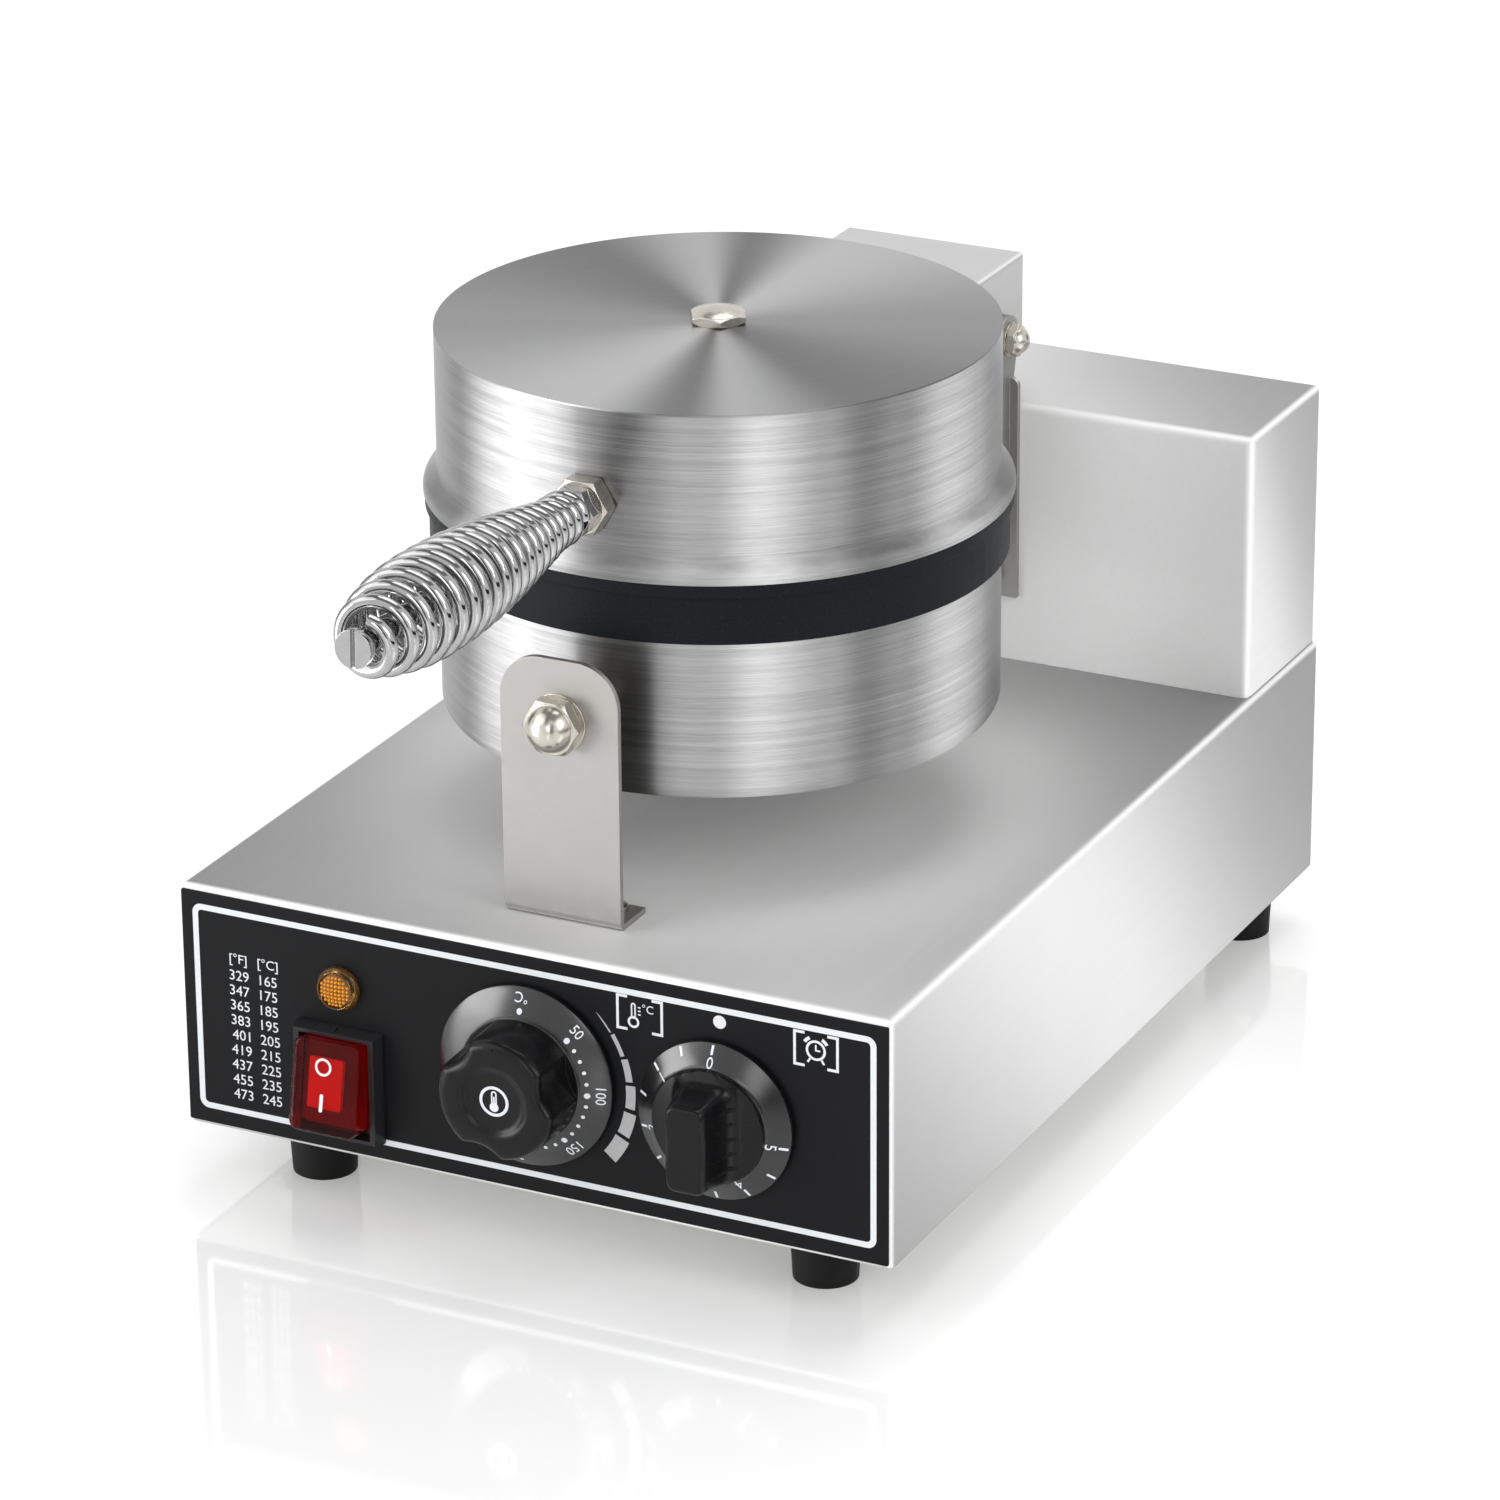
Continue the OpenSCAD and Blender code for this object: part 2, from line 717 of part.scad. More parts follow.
// Shaft with a flat on its front end
module control_shaft() difference() {
    rod(shaft_d / 2, -shaft_back, shaft_front);
    translate([flat_x, -shaft_d, bush_out + 1]) cube([shaft_d, 2 * shaft_d, knob_out]);
}
module thermostat_shaft() color(chrome_c) seat() on_panel(thermostat_x, thermostat_z) control_shaft();
module timer_shaft() color(chrome_c) seat() on_panel(timer_x, timer_z) control_shaft();

// Bore of a knob, flat on one side, and the hollow over the bush
module knob_bore() {
    difference() {
        rod(shaft_d / 2 + fit / 2, -1, shaft_front + slip);
        translate([flat_x + fit / 2, -shaft_d, -2]) cube([shaft_d, 2 * shaft_d, knob_out]);
    }
    rod(bush_r + 2, -1, bush_out + 1.6);
}

// Conical dial from its rim to the radius of the grip
module dial(d, grip_r) rotate_extrude() polygon([[0, dial_gap], [d / 2, dial_gap], [d / 2, dial_edge],
    [d / 2 - 0.6, dial_edge + 0.6], [grip_r, dial_top], [0, dial_top]]);

// Thermostat knob: a round grip with three finger hollows
module thermostat_knob() color(black) seat() on_panel(thermostat_x, thermostat_z) {
    grip_r = thermostat_grip_d / 2;
    finger_r = 16;
    finger_deep = 3;
    difference() {
        union() {
            dial(thermostat_d, grip_r);
            difference() {
                rotate_extrude() polygon([[0, dial_top - 1], [grip_r + 0.6, dial_top - 1],
                    [grip_r, knob_out - 2.5], [grip_r - 0.8, knob_out - 0.7], [grip_r - 2.5, knob_out],
                    [0, knob_out]]);
                for (turn = [15, 135, 255]) rotate([0, 0, turn])
                    translate([grip_r + finger_r - finger_deep, 0, 0])
                        rod(finger_r, dial_top, knob_out + 1);
            }
        }
        translate([0, 0, knob_out - 1.2]) cylinder(r1 = 9.4, r2 = 11, h = 1.3);
        knob_bore();
    }
}

// Timer knob: a low round hub that rises into a grip bar
module timer_knob() color(black) seat() on_panel(timer_x, timer_z) {
    grip_r = 0.36 * timer_d;
    bar = timer_bar_w / 2;
    difference() {
        union() {
            dial(timer_d, grip_r);
            intersection() {
                rotate_extrude() polygon([[0, dial_top - 1], [grip_r, dial_top - 1],
                    [grip_r - 1.2, knob_out - 1], [grip_r - 2.4, knob_out], [0, knob_out]]);
                forward(0, grip_r, 0) linear_extrude(2 * grip_r) polygon([
                    [-grip_r, dial_top - 1], [grip_r, dial_top - 1], [grip_r, dial_top + 2],
                    [bar + 2, dial_top + 4], [bar, knob_out], [-bar, knob_out],
                    [-bar - 2, dial_top + 4], [-grip_r, dial_top + 2]]);
            }
        }
        knob_bore();
    }
}

// Terminal block on the bottom plate, with a screw well and a wire way for each pole
module terminal_block() color(wool) seat() translate([-block_x, base_d - block_back, bottom_t]) {
    poles = 6;
    pitch = pole_pitch;
    size = [poles * pitch, block_w, block_h];
    difference() {
        cube(size);
        for (k = [0.5:poles]) translate([k * pitch, 0, 0]) {
            translate([0, size.y / 2, size.z - 6]) cylinder(d = 6, h = 7, $fn = 24);
            rearward(0, -1, size.z / 3) cylinder(d = 4, h = size.y + 2, $fn = 24);
        }
    }
}

// Cable gland through the rear wall; its bore is the mains inlet
module cable_gland() color(black) seat() rearward(gland_x, base_d, gland_z) difference() {
    union() {
        rod(gland_thread_r, -gland_inside, eps);
        hex_block(gland_af, gland_hex);
        rotate_extrude() polygon([[0, gland_hex - 1], [gland_thread_r + 2.4, gland_hex - 1],
            [gland_thread_r + 2.4, gland_out - 5], [gland_thread_r + 0.8, gland_out - 1],
            [gland_thread_r - 0.6, gland_out], [0, gland_out]]);
    }
    rod(gland_bore / 2, -gland_inside - 1, gland_out + 1);
}

// Nut of the gland inside the base
module gland_nut() color(black) seat() rearward(gland_x, base_d - sheet_t - gland_nut_h, gland_z)
    hex_nut(gland_af, gland_nut_h, 2 * gland_thread_r);

// ---- Rear housing ----

// Folded steel housing, open to the rear and below
module rear_housing() color(steel) seat() difference() {
    union() {
        translate([0, housing_y, base_h]) difference() {
            folded(housing_w, housing_d, housing_h, bend_r);
            hollow(housing_w, housing_d, housing_h, bend_r, sheet_t, hole_reach);
        }
        for (sx = [-1, 1]) translate([sx * (housing_w / 2 - flange_mid), 0, 0]) {
            translate([0, housing_y + housing_d / 2, base_h + sheet_t / 2])
                cube([flange_w + sheet_t, housing_d - 4 * bend_r, sheet_t], center = true);
            translate([0, base_d - 1.5 * sheet_t, base_h + housing_h / 2])
                cube([flange_w + sheet_t, sheet_t, housing_h - 4 * bend_r], center = true);
        }
    }
    at_housing_screws() screw_hole(m4);
    at_cover_screws() screw_hole(m4);
    at_bracket_screws() screw_hole(m5);
    rearward(0, housing_y, bolt_z) screw_hole(2 * lead_r);
}

// Four screws that hold the housing on the base
module housing_screws() color(nickel) seat() at_housing_screws()
    translate([0, 0, sheet_t]) pan_screw(m4, housing_screw_len);

// Plate that closes the housing's back, with vent slots
module rear_cover() color(satin) seat() difference() {
    forward(0, base_d, base_h + slip) linear_extrude(sheet_t - eps)
        arch(housing_w - 2 * (sheet_t + slip), housing_h - sheet_t - 2 * slip, bend_r);
    for (sx = [-1, 1], k = [-2.5:2.5]) translate([sx * vent_w, base_d, base_h + housing_h / 2 + 9 * k])
        cube([vent_w + 3 * vent_gap, 6, vent_gap], center = true);
    at_cover_screws() screw_hole(m4);
}

// Six screws of the rear cover
module rear_cover_screws() color(nickel) seat() at_cover_screws() pan_screw(m4, cover_screw_len);

// ---- Front bracket ----

// Upright sheet bracket with a folded foot
module front_bracket() color(satin) seat() difference() {
    intersection() {
        translate([-front_w / 2, 0, 0]) rotate([90, 0, 90]) linear_extrude(front_w) front_profile();
        forward(0, front_y + front_foot + 1, base_h) linear_extrude(front_foot + 2)
            arch(front_w, front_h, corner_r);
    }
    rearward(0, front_y, bolt_z) screw_hole(bolt_d);
    at_front_screws() screw_hole(m5);
}

// Side view of the front bracket: upright, fold and foot
module front_profile() translate([front_y, base_h]) difference() {
    union() {
        translate([0, bend_r]) square([front_t, front_h - bend_r]);
        translate([bend_r, 0]) square([front_foot - bend_r, front_t]);
        intersection() {
            translate([bend_r, bend_r]) circle(bend_r);
            square(bend_r);
        }
    }
    translate([bend_r, bend_r]) circle(bend_r - front_t);
}

// Two screws through the bracket's foot
module front_bracket_screws() color(nickel) seat() at_front_screws()
    translate([0, 0, front_t]) pan_screw(m5, bracket_screw_len);

// Stud that carries the lower shell on the bracket, with its washer, nuts and spacer
module front_stud() color(nickel) seat() rearward(0, front_y, bolt_z)
    rod(bolt_d / 2, -washer_t - acorn_reach, front_t + spacer_len + shell_t + nut_h(bolt_d) + 2);
module front_washer() color(nickel) seat() rearward(0, front_y - washer_t, bolt_z)
    ring(0.95 * bolt_d, bolt_d / 2 + fit, washer_t);
module front_acorn_nut() color(nickel) seat() forward(0, front_y - washer_t, bolt_z)
    cap_nut(front_nut_af, acorn_hex, acorn_dome, bolt_d, acorn_reach + slip);
module front_spacer() color(nickel) seat() rearward(0, spacer_y, bolt_z)
    ring(0.9 * bolt_d, bolt_d / 2 + fit, spacer_len);
module front_inner_nut() color(nickel) seat()
    rearward(0, shell_front + sagitta(head_r - shell_t, front_nut_af / 2 / cos(30)) + shell_t, bolt_z)
        hex_nut(front_nut_af, nut_h(bolt_d), bolt_d);

// How far a wall of radius r curves away at the distance x from its middle
function sagitta(r, x) = r - sqrt(r * r - x * x);

// ---- Rear support and fixed half of the hinge ----

// Back plate on the housing with two ears that hold the hinge pin
module hinge_bracket() color(satin) seat() difference() {
    union() {
        difference() {
            forward(0, housing_y, bracket_low) linear_extrude(bracket_t)
                arch(bracket_w, shoulder_z - bracket_low, bracket_t + 1);
            translate([-ear_in, plate_y - 1, notch_z]) cube([2 * ear_in, bracket_t + 2, shoulder_z]);
        }
        for (x = [-ear_out, ear_in]) translate([x, 0, 0]) rotate([90, 0, 90]) linear_extrude(bracket_t) {
            translate([hinge_y, hinge_z]) circle(ear_r);
            polygon([[hinge_y - ear_r, hinge_z], [hinge_y - ear_r, bolt_z + bracket_bevel], [plate_y, bolt_z],
                [housing_y, bolt_z], [housing_y, housing_top + 2], [hinge_y + ear_r, hinge_z]]);
        }
    }
    on_hinge() cylinder(r = pin_d / 2 + fit, h = 3 * ear_out, center = true);
    at_bracket_screws() screw_hole(m5);
    rearward(0, plate_y, bolt_z) screw_hole(2 * lead_r);
}

// Four screws of the hinge bracket
module hinge_bracket_screws() color(nickel) seat() at_bracket_screws() pan_screw(m5, bracket_screw_len);

// Box-section arm from the bracket's back plate to a saddle on the lower shell
module rear_arm() color(satin) seat() difference() {
    union() {
        difference() {
            translate([-arm_w / 2, head_y, bolt_z - arm_h / 2]) cube([arm_w, plate_y - head_y, arm_h]);
            translate([arm_t - arm_w / 2, head_y - 1, bolt_z + arm_t - arm_h / 2])
                cube([arm_w - 2 * arm_t, plate_y - head_y + 2, arm_h - 2 * arm_t]);
        }
        intersection() {
            translate([-arm_w / 2, head_y, bolt_z - arm_h / 2]) cube([arm_w, base_d, arm_h]);
            on_head(bolt_z) cylinder(r = head_r + saddle_t, h = arm_h, center = true, $fn = 128);
        }
    }
    on_head(bolt_z) cylinder(r = head_r, h = 2 * arm_h, center = true, $fn = 128);
    head_wire_hole(bolt_z);
    at_arm_bolts() screw_hole(m6);
}

// Hole for the element's leads through the back of a head at the height z
module head_wire_hole(z) rearward(0, shell_back, z - 4) screw_hole(10);

// Two bolts through the saddle and the lower shell, each with its nut inside
module rear_arm_bolts() color(nickel) seat() at_arm_bolts() {
    wide = arm_bolt_x + head_d(m6) / 2;
    translate([0, 0, saddle_t]) pan_screw(m6, saddle_t + shell_t + nut_h(m6) + 4);
    translate([0, 0, -shell_t - sagitta(head_r - shell_t, wide) - nut_h(m6) - slip])
        hex_nut(nut_af(m6), nut_h(m6), m6);
}

// Rubber grommet where the leads enter the housing
module lead_grommet() color(rubber_c) seat() rearward(0, plate_y, bolt_z) {
    t = bracket_t + sheet_t;
    ring(lead_r, lead_r - 3, t);
    for (z = [-2, t]) translate([0, 0, z]) ring(lead_r + 2, lead_r - 3, 2);
}

// ---- Lower baking head ----

// Steel shell of the lower head
module lower_shell() color(steel) seat() difference() {
    on_head(low_z) rotate_extrude($fn = 128) difference() {
        drum(head_r, lower_h, shell_bend);
        translate([0, shell_t]) drum(head_r - shell_t, lower_h, shell_bend - shell_t);
    }
    rearward(0, shell_front, bolt_z) screw_hole(bolt_d);
    head_wire_hole(bolt_z);
    at_arm_bolts() screw_hole(m6);
    on_head(low_z) screw_hole(stud_d);
}

// Lines of the baking pattern in a disc of radius r, shifted by a share of their pitch
module pattern(r, h, shift) intersection() {
    cylinder(r = r, h = h, $fn = 128);
    count = ceil(r / grid_pitch);
    for (turn = [45, 135]) rotate([0, 0, turn]) for (k = [-count:count])
        translate([(k + shift) * grid_pitch - grid_w / 2, -r, 0]) cube([grid_w, 2 * r, h]);
}

// Groove that a heating element lies in, at the height z
module element_groove(z) translate([0, 0, z]) rotate_extrude()
    translate([element_r, 0]) circle(element_d / 2 + fit);

// Casting of the lower plate with its rim, boss and element groove
module lower_plate() color(iron) seat() on_head(0) difference() {
    rim_r = head_r + lower_rim_out;
    union() {
        rotate_extrude($fn = 128) polygon([[0, lower_back], [spigot_r - 3 * spigot_h, lower_back],
            [spigot_r - 2 * spigot_h, rim_z - spigot_h], [spigot_r, rim_z - spigot_h], [spigot_r, rim_z],
            [rim_r, rim_z], [rim_r, part_z], [bake_r, part_z], [bake_r, floor_z], [0, floor_z]]);
        translate([0, 0, floor_z - eps]) pattern(bake_r, lower_grid_h + eps, 0);
        rod(boss_r, lower_back - boss_h, lower_back + eps);
    }
    element_groove(lower_back);
    rod(stud_d / 2 + fit, lower_back - boss_h - 1, lower_back + cast_t / 2);
}

// Ring-shaped heating element half sunk in a casting, with two pins that point away from it
module element(pins_low) {
    rotate_extrude() translate([element_r, 0]) circle(element_d / 2);
    for (sx = [-1, 1]) translate([7 * sx, element_r, pins_low]) rod(element_d / 4, 0, pin_h);
}
module lower_element() color(satin) seat() on_head(lower_back) element(-pin_h);

// Ceramic wool in the bottom of the lower shell
module lower_insulation() color(wool) seat() on_head(low_z + shell_t)
    ring(spigot_r - shell_bend + shell_t, boss_r, wool_t);

// Stud that pulls the lower plate into its shell, with its nut below
module lower_stud() color(nickel) seat() on_head(low_z) {
    rod(stud_d / 2, -nut_h(stud_d) - 2, lower_back + cast_t / 2 - 0.5 - low_z);
    translate([0, 0, -nut_h(stud_d)]) hex_nut(nut_af(stud_d), nut_h(stud_d), stud_d);
}

// Thermostat's sensor bulb under the lower plate
module sensor_bulb() color(brass_c) seat()
    translate([-bulb_len / 2, head_y + 0.45 * element_r, lower_back - bulb_d / 2]) rotate([0, 90, 0])
        cylinder(d = bulb_d, h = bulb_len);

// ---- Hinge ----

// Pin through both ears and the moving barrel, with a washer and a domed nut on each end
module hinge_pin() color(nickel) seat() on_hinge()
    cylinder(d = pin_d, h = 2 * (ear_out + washer_t + cap_hex), center = true);
module at_pin_ends() for (turn = [0, 180]) on_hinge() rotate([turn, 0, 0])
    translate([0, 0, ear_out]) children();
module hinge_washers() color(nickel) seat() at_pin_ends() ring(0.96 * pin_d, pin_d / 2 + fit, washer_t);
module hinge_cap_nuts() color(nickel) seat() at_pin_ends() translate([0, 0, washer_t])
    cap_nut(nut_af(pin_d), cap_hex, cap_dome, pin_d, cap_hex + slip);

// ---- Upper baking head ----

// Flared outline of the upper shell, moved in by d
function flare_line(d) = [for (k = [0:flare_steps]) [
    head_r - d + flare_out * (1 + cos(180 * k / flare_steps)) / 2,
    lid_z + lip_h + flare_h * k / flare_steps]];

// Solid with the upper shell's outer form, moved in by d and down by drop
module lid_form(d, drop) on_head(0) rotate_extrude($fn = 128) polygon(concat(
    [[0, lid_z - drop], [head_r + flare_out - d, lid_z - drop]], flare_line(d),
    [[head_r - d, lid_top - d], [0, lid_top - d]]));

// Steel shell of the upper head with its flared skirt
module upper_shell() color(steel) seat() difference() {
    lid_form(0, 0);
    lid_form(shell_t, 1);
    on_handle() screw_hole(rod_d);
    on_head(lid_top) screw_hole(stud_d);
    at_lid_screws() screw_hole(m6);
    head_wire_hole(lid_screw_z);
}

// Casting of the upper plate
module upper_plate() color(iron) seat() on_head(0) difference() {
    rim_r = head_r + upper_rim_out;
    union() {
        rotate_extrude($fn = 128) polygon([[0, ceiling_z], [bake_r, ceiling_z], [bake_r, up_z],
            [rim_r, up_z], [rim_r, lid_z], [spigot_r, lid_z], [spigot_r, upper_back], [0, upper_back]]);
        translate([0, 0, ceiling_z - upper_grid_h]) pattern(bake_r, upper_grid_h + eps, 0.5);
        rod(boss_r, upper_back - eps, upper_back + boss_h);
    }
    element_groove(upper_back);
    rod(stud_d / 2 + fit, upper_back - cast_t / 2, upper_back + boss_h + 1);
}
module upper_element() color(satin) seat() on_head(upper_back) element(0);

// Ceramic wool under the upper shell's top, cut away round the handle's and hinge's fixings
module upper_insulation() color(wool) seat() difference() {
    low = upper_back + element_d / 2 + wool_gap;
    space = 20;
    on_head(0) rod(spigot_r - slip, low, lid_top - shell_t);
    on_head(0) rod(boss_r, low - 1, lid_top);
    translate([-space / 2, shell_front, low - 1]) cube([space, space, handle_z - low + space / 2 + 1]);
    translate([-space - 5, shell_back - space, low - 1])
        cube([2 * space + 10, space, lid_screw_z - low + space / 2]);
}

// Stud and domed nut that hold the upper shell on its plate
module lid_stud() color(nickel) seat() on_head(0)
    rod(stud_d / 2, upper_back - cast_t / 2 + 0.5, lid_top + 2.4);
module lid_nut() color(nickel) seat() on_head(lid_top) cap_nut(lid_nut_af, 3, 1.8, stud_d, 2.6);

// ---- Handle ----

// Nut against the shell, ferrule behind the coils and nut inside the shell
module handle_nut() color(nickel) seat() difference() {
    on_handle() hex_nut(handle_nut_af, handle_nut_h, rod_d);
    lid_form(-fit, 0);
}
module handle_ferrule() color(chrome_c) seat() on_handle() translate([0, 0, handle_nut_h])
    hex_nut(ferrule_af, ferrule_h, rod_d);
module handle_inner_nut() color(nickel) seat() on_handle()
    translate([0, 0, -shell_t - nut_h(rod_d) - 0.5]) hex_nut(nut_af(rod_d), nut_h(rod_d), rod_d);

// Rod with a slotted head at the tip
module handle_rod() color(chrome_c) seat() on_handle() difference() {
    union() {
        rod(rod_d / 2, -rod_inside, handle_len - tip_h + eps);
        rod(tip_r, handle_len - tip_h, handle_len);
    }
    translate([0, 0, handle_len]) cube([1.6, 2 * tip_r + 2, tip_h], center = true);
}

// Outer radius of the coil grip at a share s of its length
function grip_r(s) = s < swell
    ? grip_start_r + (grip_max_r - grip_start_r) * pow(sin(90 * s / swell), 1.15)
    : grip_end_r + (grip_max_r - grip_end_r) * pow(cos(90 * (s - swell) / (1 - swell)), 0.8);

// Half height of one coil's ridge at step k
function ridge(k) = wire_d / 2 * (0.3 + 0.7 * abs(cos(180 * k / ridge_steps)));

// Coil grip as a scalloped tube: one ridge for each coil
module handle_spring() color(chrome_c) seat() on_handle() translate([0, 0, grip_y]) {
    last = coils * ridge_steps;
    middle = [for (k = [0:last]) max(grip_r(k / last) - wire_d / 2, rod_d / 2 + wire_d / 2 + fit)];
    rotate_extrude() polygon(concat(
        [for (k = [0:last]) [middle[k] + ridge(k), k * grip_len / last]],
        [for (k = [last:-1:0]) [middle[k] - ridge(k), k * grip_len / last]]));
}

// ---- Moving half of the hinge ----

// Folded cover over the hinge, scribed to the upper shell
module hinge_cover() color(satin) seat() difference() {
    deep = cover_y - head_y;
    high = cover_top - cover_z;
    translate([0, head_y, cover_z]) difference() {
        folded(cover_w, deep, high, sheet_t + 0.5);
        translate([0, -hole_reach, 0])
            hollow(cover_w, deep, high, sheet_t + 0.5, sheet_t, hole_reach);
    }
    lid_form(0, hole_reach);
    on_hinge() cylinder(r = pin_d / 2 + pass, h = 2 * cover_w, center = true);
}

// Arm that carries the upper head: flange, two webs and the barrel on the pin
module hinge_arm() color(satin) seat() difference() {
    union() {
        translate([-flange_half, head_y, flange_low])
            cube([2 * flange_half, head_r + flange_t, flange_top - flange_low]);
        for (x = [-web_half, web_half - web_t]) translate([x, 0, 0]) rotate([90, 0, 90])
            linear_extrude(web_t) polygon([[shell_back + flange_t - 1, flange_low + 1],
                [hinge_y, hinge_z - barrel_r], [hinge_y, hinge_z + barrel_r],
                [shell_back + flange_t - 1, flange_top - 1]]);
        on_hinge() cylinder(r = barrel_r, h = cover_w - 2 * (sheet_t + barrel_gap), center = true);
    }
    on_head(0) rod(head_r, 0, lid_top);
    on_hinge() cylinder(r = pin_d / 2 + fit, h = cover_w, center = true);
    at_lid_screws() screw_hole(m6);
}

// Two screws through the arm's flange and the shell, each with its nut inside
module hinge_arm_screws() color(nickel) seat() at_lid_screws() {
    wide = lid_screw_x + nut_af(m6) / 2 / cos(30);
    translate([0, 0, flange_t]) pan_screw(m6, flange_t + shell_t + nut_h(m6) + 4);
    translate([0, 0, -shell_t - sagitta(head_r - shell_t, wide) - nut_h(m6)])
        hex_nut(nut_af(m6), nut_h(m6), m6);
}

base_shell();
base_front();
base_back();
base_bottom();
bottom_screws();
rubber_feet();
foot_screws();
control_panel();
lamp_lens();
lamp_body();
switch_frame();
switch_terminals();
power_rocker();
thermostat_body();
thermostat_shaft();
thermostat_knob();
timer_body();
timer_shaft();
timer_knob();
terminal_block();
cable_gland();
gland_nut();
rear_housing();
housing_screws();
rear_cover();
rear_cover_screws();
front_bracket();
front_bracket_screws();
front_stud();
front_washer();
front_acorn_nut();
front_spacer();
front_inner_nut();
hinge_bracket();
hinge_bracket_screws();
rear_arm();
rear_arm_bolts();
lead_grommet();
lower_shell();
lower_plate();
lower_element();
lower_insulation();
lower_stud();
sensor_bulb();
hinge_pin();
hinge_washers();
hinge_cap_nuts();
upper_shell();
upper_plate();
upper_element();
upper_insulation();
lid_stud();
lid_nut();
handle_nut();
handle_ferrule();
handle_rod();
handle_spring();
handle_inner_nut();
hinge_cover();
hinge_arm();
hinge_arm_screws();
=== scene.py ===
"""Counter-top waffle cone maker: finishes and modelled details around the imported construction.

Each sub-assembly is a class. Its fields are its sizes in millimetres, and its methods build
its meshes and dress them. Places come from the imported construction, so every piece sits on
what carries it. Local drawings on the front panel have X to the right, Y up and Z outwards.
"""

from __future__ import annotations

import json
import logging
import math
from dataclasses import dataclass
from enum import Enum
from typing import Callable, Sequence

import bmesh
import bpy
from mathutils import Matrix, Vector

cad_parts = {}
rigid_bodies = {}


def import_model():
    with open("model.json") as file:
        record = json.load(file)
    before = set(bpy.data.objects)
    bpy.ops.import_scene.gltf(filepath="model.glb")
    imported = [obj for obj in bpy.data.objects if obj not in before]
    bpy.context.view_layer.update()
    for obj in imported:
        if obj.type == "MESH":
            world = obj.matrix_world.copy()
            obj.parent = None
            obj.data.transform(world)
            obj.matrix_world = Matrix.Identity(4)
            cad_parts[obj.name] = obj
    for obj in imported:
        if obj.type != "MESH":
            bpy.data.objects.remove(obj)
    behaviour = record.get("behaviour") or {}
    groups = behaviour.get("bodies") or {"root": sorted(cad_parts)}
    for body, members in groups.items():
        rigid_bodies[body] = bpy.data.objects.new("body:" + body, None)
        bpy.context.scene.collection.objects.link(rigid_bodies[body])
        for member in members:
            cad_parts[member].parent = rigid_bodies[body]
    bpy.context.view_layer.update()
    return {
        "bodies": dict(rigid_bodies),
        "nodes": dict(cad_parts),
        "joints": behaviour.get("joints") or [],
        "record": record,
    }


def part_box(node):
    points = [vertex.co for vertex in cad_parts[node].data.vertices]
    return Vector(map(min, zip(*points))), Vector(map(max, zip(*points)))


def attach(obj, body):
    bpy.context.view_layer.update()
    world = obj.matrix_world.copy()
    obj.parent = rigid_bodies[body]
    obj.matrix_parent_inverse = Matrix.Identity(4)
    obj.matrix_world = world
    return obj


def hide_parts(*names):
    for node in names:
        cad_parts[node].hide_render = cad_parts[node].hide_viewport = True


LOG = logging.getLogger("waffle_cone_maker")
MM = 0.001
TURN = 2 * math.pi

Colour = tuple[float, float, float]
Point = tuple[float, float]
Outline = list[Point]
Mesh = bpy.types.Mesh
Node = bpy.types.Node
NodeTree = bpy.types.NodeTree
Outputs = bpy.types.bpy_prop_collection
Socket = bpy.types.NodeSocket


class Body(Enum):
    """The bodies that pieces ride on."""

    BASE = "base"
    LID = "lid"
    ROCKER = "rocker"
    THERMOSTAT = "thermostat_dial"
    TIMER = "timer_dial"


class Grain(Enum):
    """Stretch of a sheet's brushing: size of the streaks' pattern per millimetre, and per radius."""

    ACROSS = ((0.02, 2.4, 2.4), 0.0)
    ALONG = ((2.4, 0.02, 2.4), 0.0)
    ROUND = ((0.016, 0.016, 2.6), 2.6)


# Painted sheen: displayed greys of the light and dark sectors painted into a turned sheet's colour round its axis,
# standing in for its reflections
PAINTED_LIGHT, PAINTED_MIDDLE, PAINTED_DARK = 230, 163, 138
# Painted light bands down its side, standing in for reflections: the middle of each, in degrees from +X, and how far it
# fades to either hand
PAINTED_SIDE_BANDS = ((78, 30), (170, 24), (246, 14), (304, 14), (351, 16))
# Painted reflection fans over its flat end, in degrees and displayed grey, which are alike on both sides of the axis
PAINTED_END_FANS = ((25, 145), (88, 200), (109, 118), (120, 180), (145, 112))


@dataclass(frozen=True)
class Wash:
    """A soft painted band of light and shade on a face: a bell along a slanted direction, in millimetres, over a lowest
    tone.
    """

    along: tuple[float, float, float]
    centre: float
    low_width: float
    high_width: float
    least: float
    gain: float


# Painted light and shade on the satin sheet's faces, one band per kind of face
BASE_TOP = Wash((1.0, 0.5, 0.0), 12.5, 155.0, 138.0, 0.18, 0.41)
BASE_SIDE = Wash((0.0, 1.0, 1.0), 88.0, 140.0, 112.0, 0.34, 0.56)
HOUSING_TOP = Wash((1.0, 0.74, 0.0), 132.0, 200.0, 80.0, 0.29, 0.46)
HOUSING_SIDE = Wash((0.0, 1.0, 0.54), 225.0, 200.0, 46.0, 0.42, 0.5)
UPRIGHT = Wash((1.0, 0.0, 0.0), 50.0, 90.0, 66.0, 0.58, 0.42)
# Height in millimetres from which a face belongs to the housing
HOUSING_FROM = 105.0
# Painted light round the heads on the base's top, against their shade and dark reflection: from which radius, how far
# it fades, and how much it adds
HEAD_PAINTED_LIGHT = (93.0, 32.0, 0.5)
# How soon an edge's turn counts as rubbed bare and gets a painted highlight, and how far a normal leans for its face to
# count as flat on
EDGE_WEAR_AND_HIGHLIGHT_GAIN = 3.0
FACING = 0.7


# ---- Node trees ----


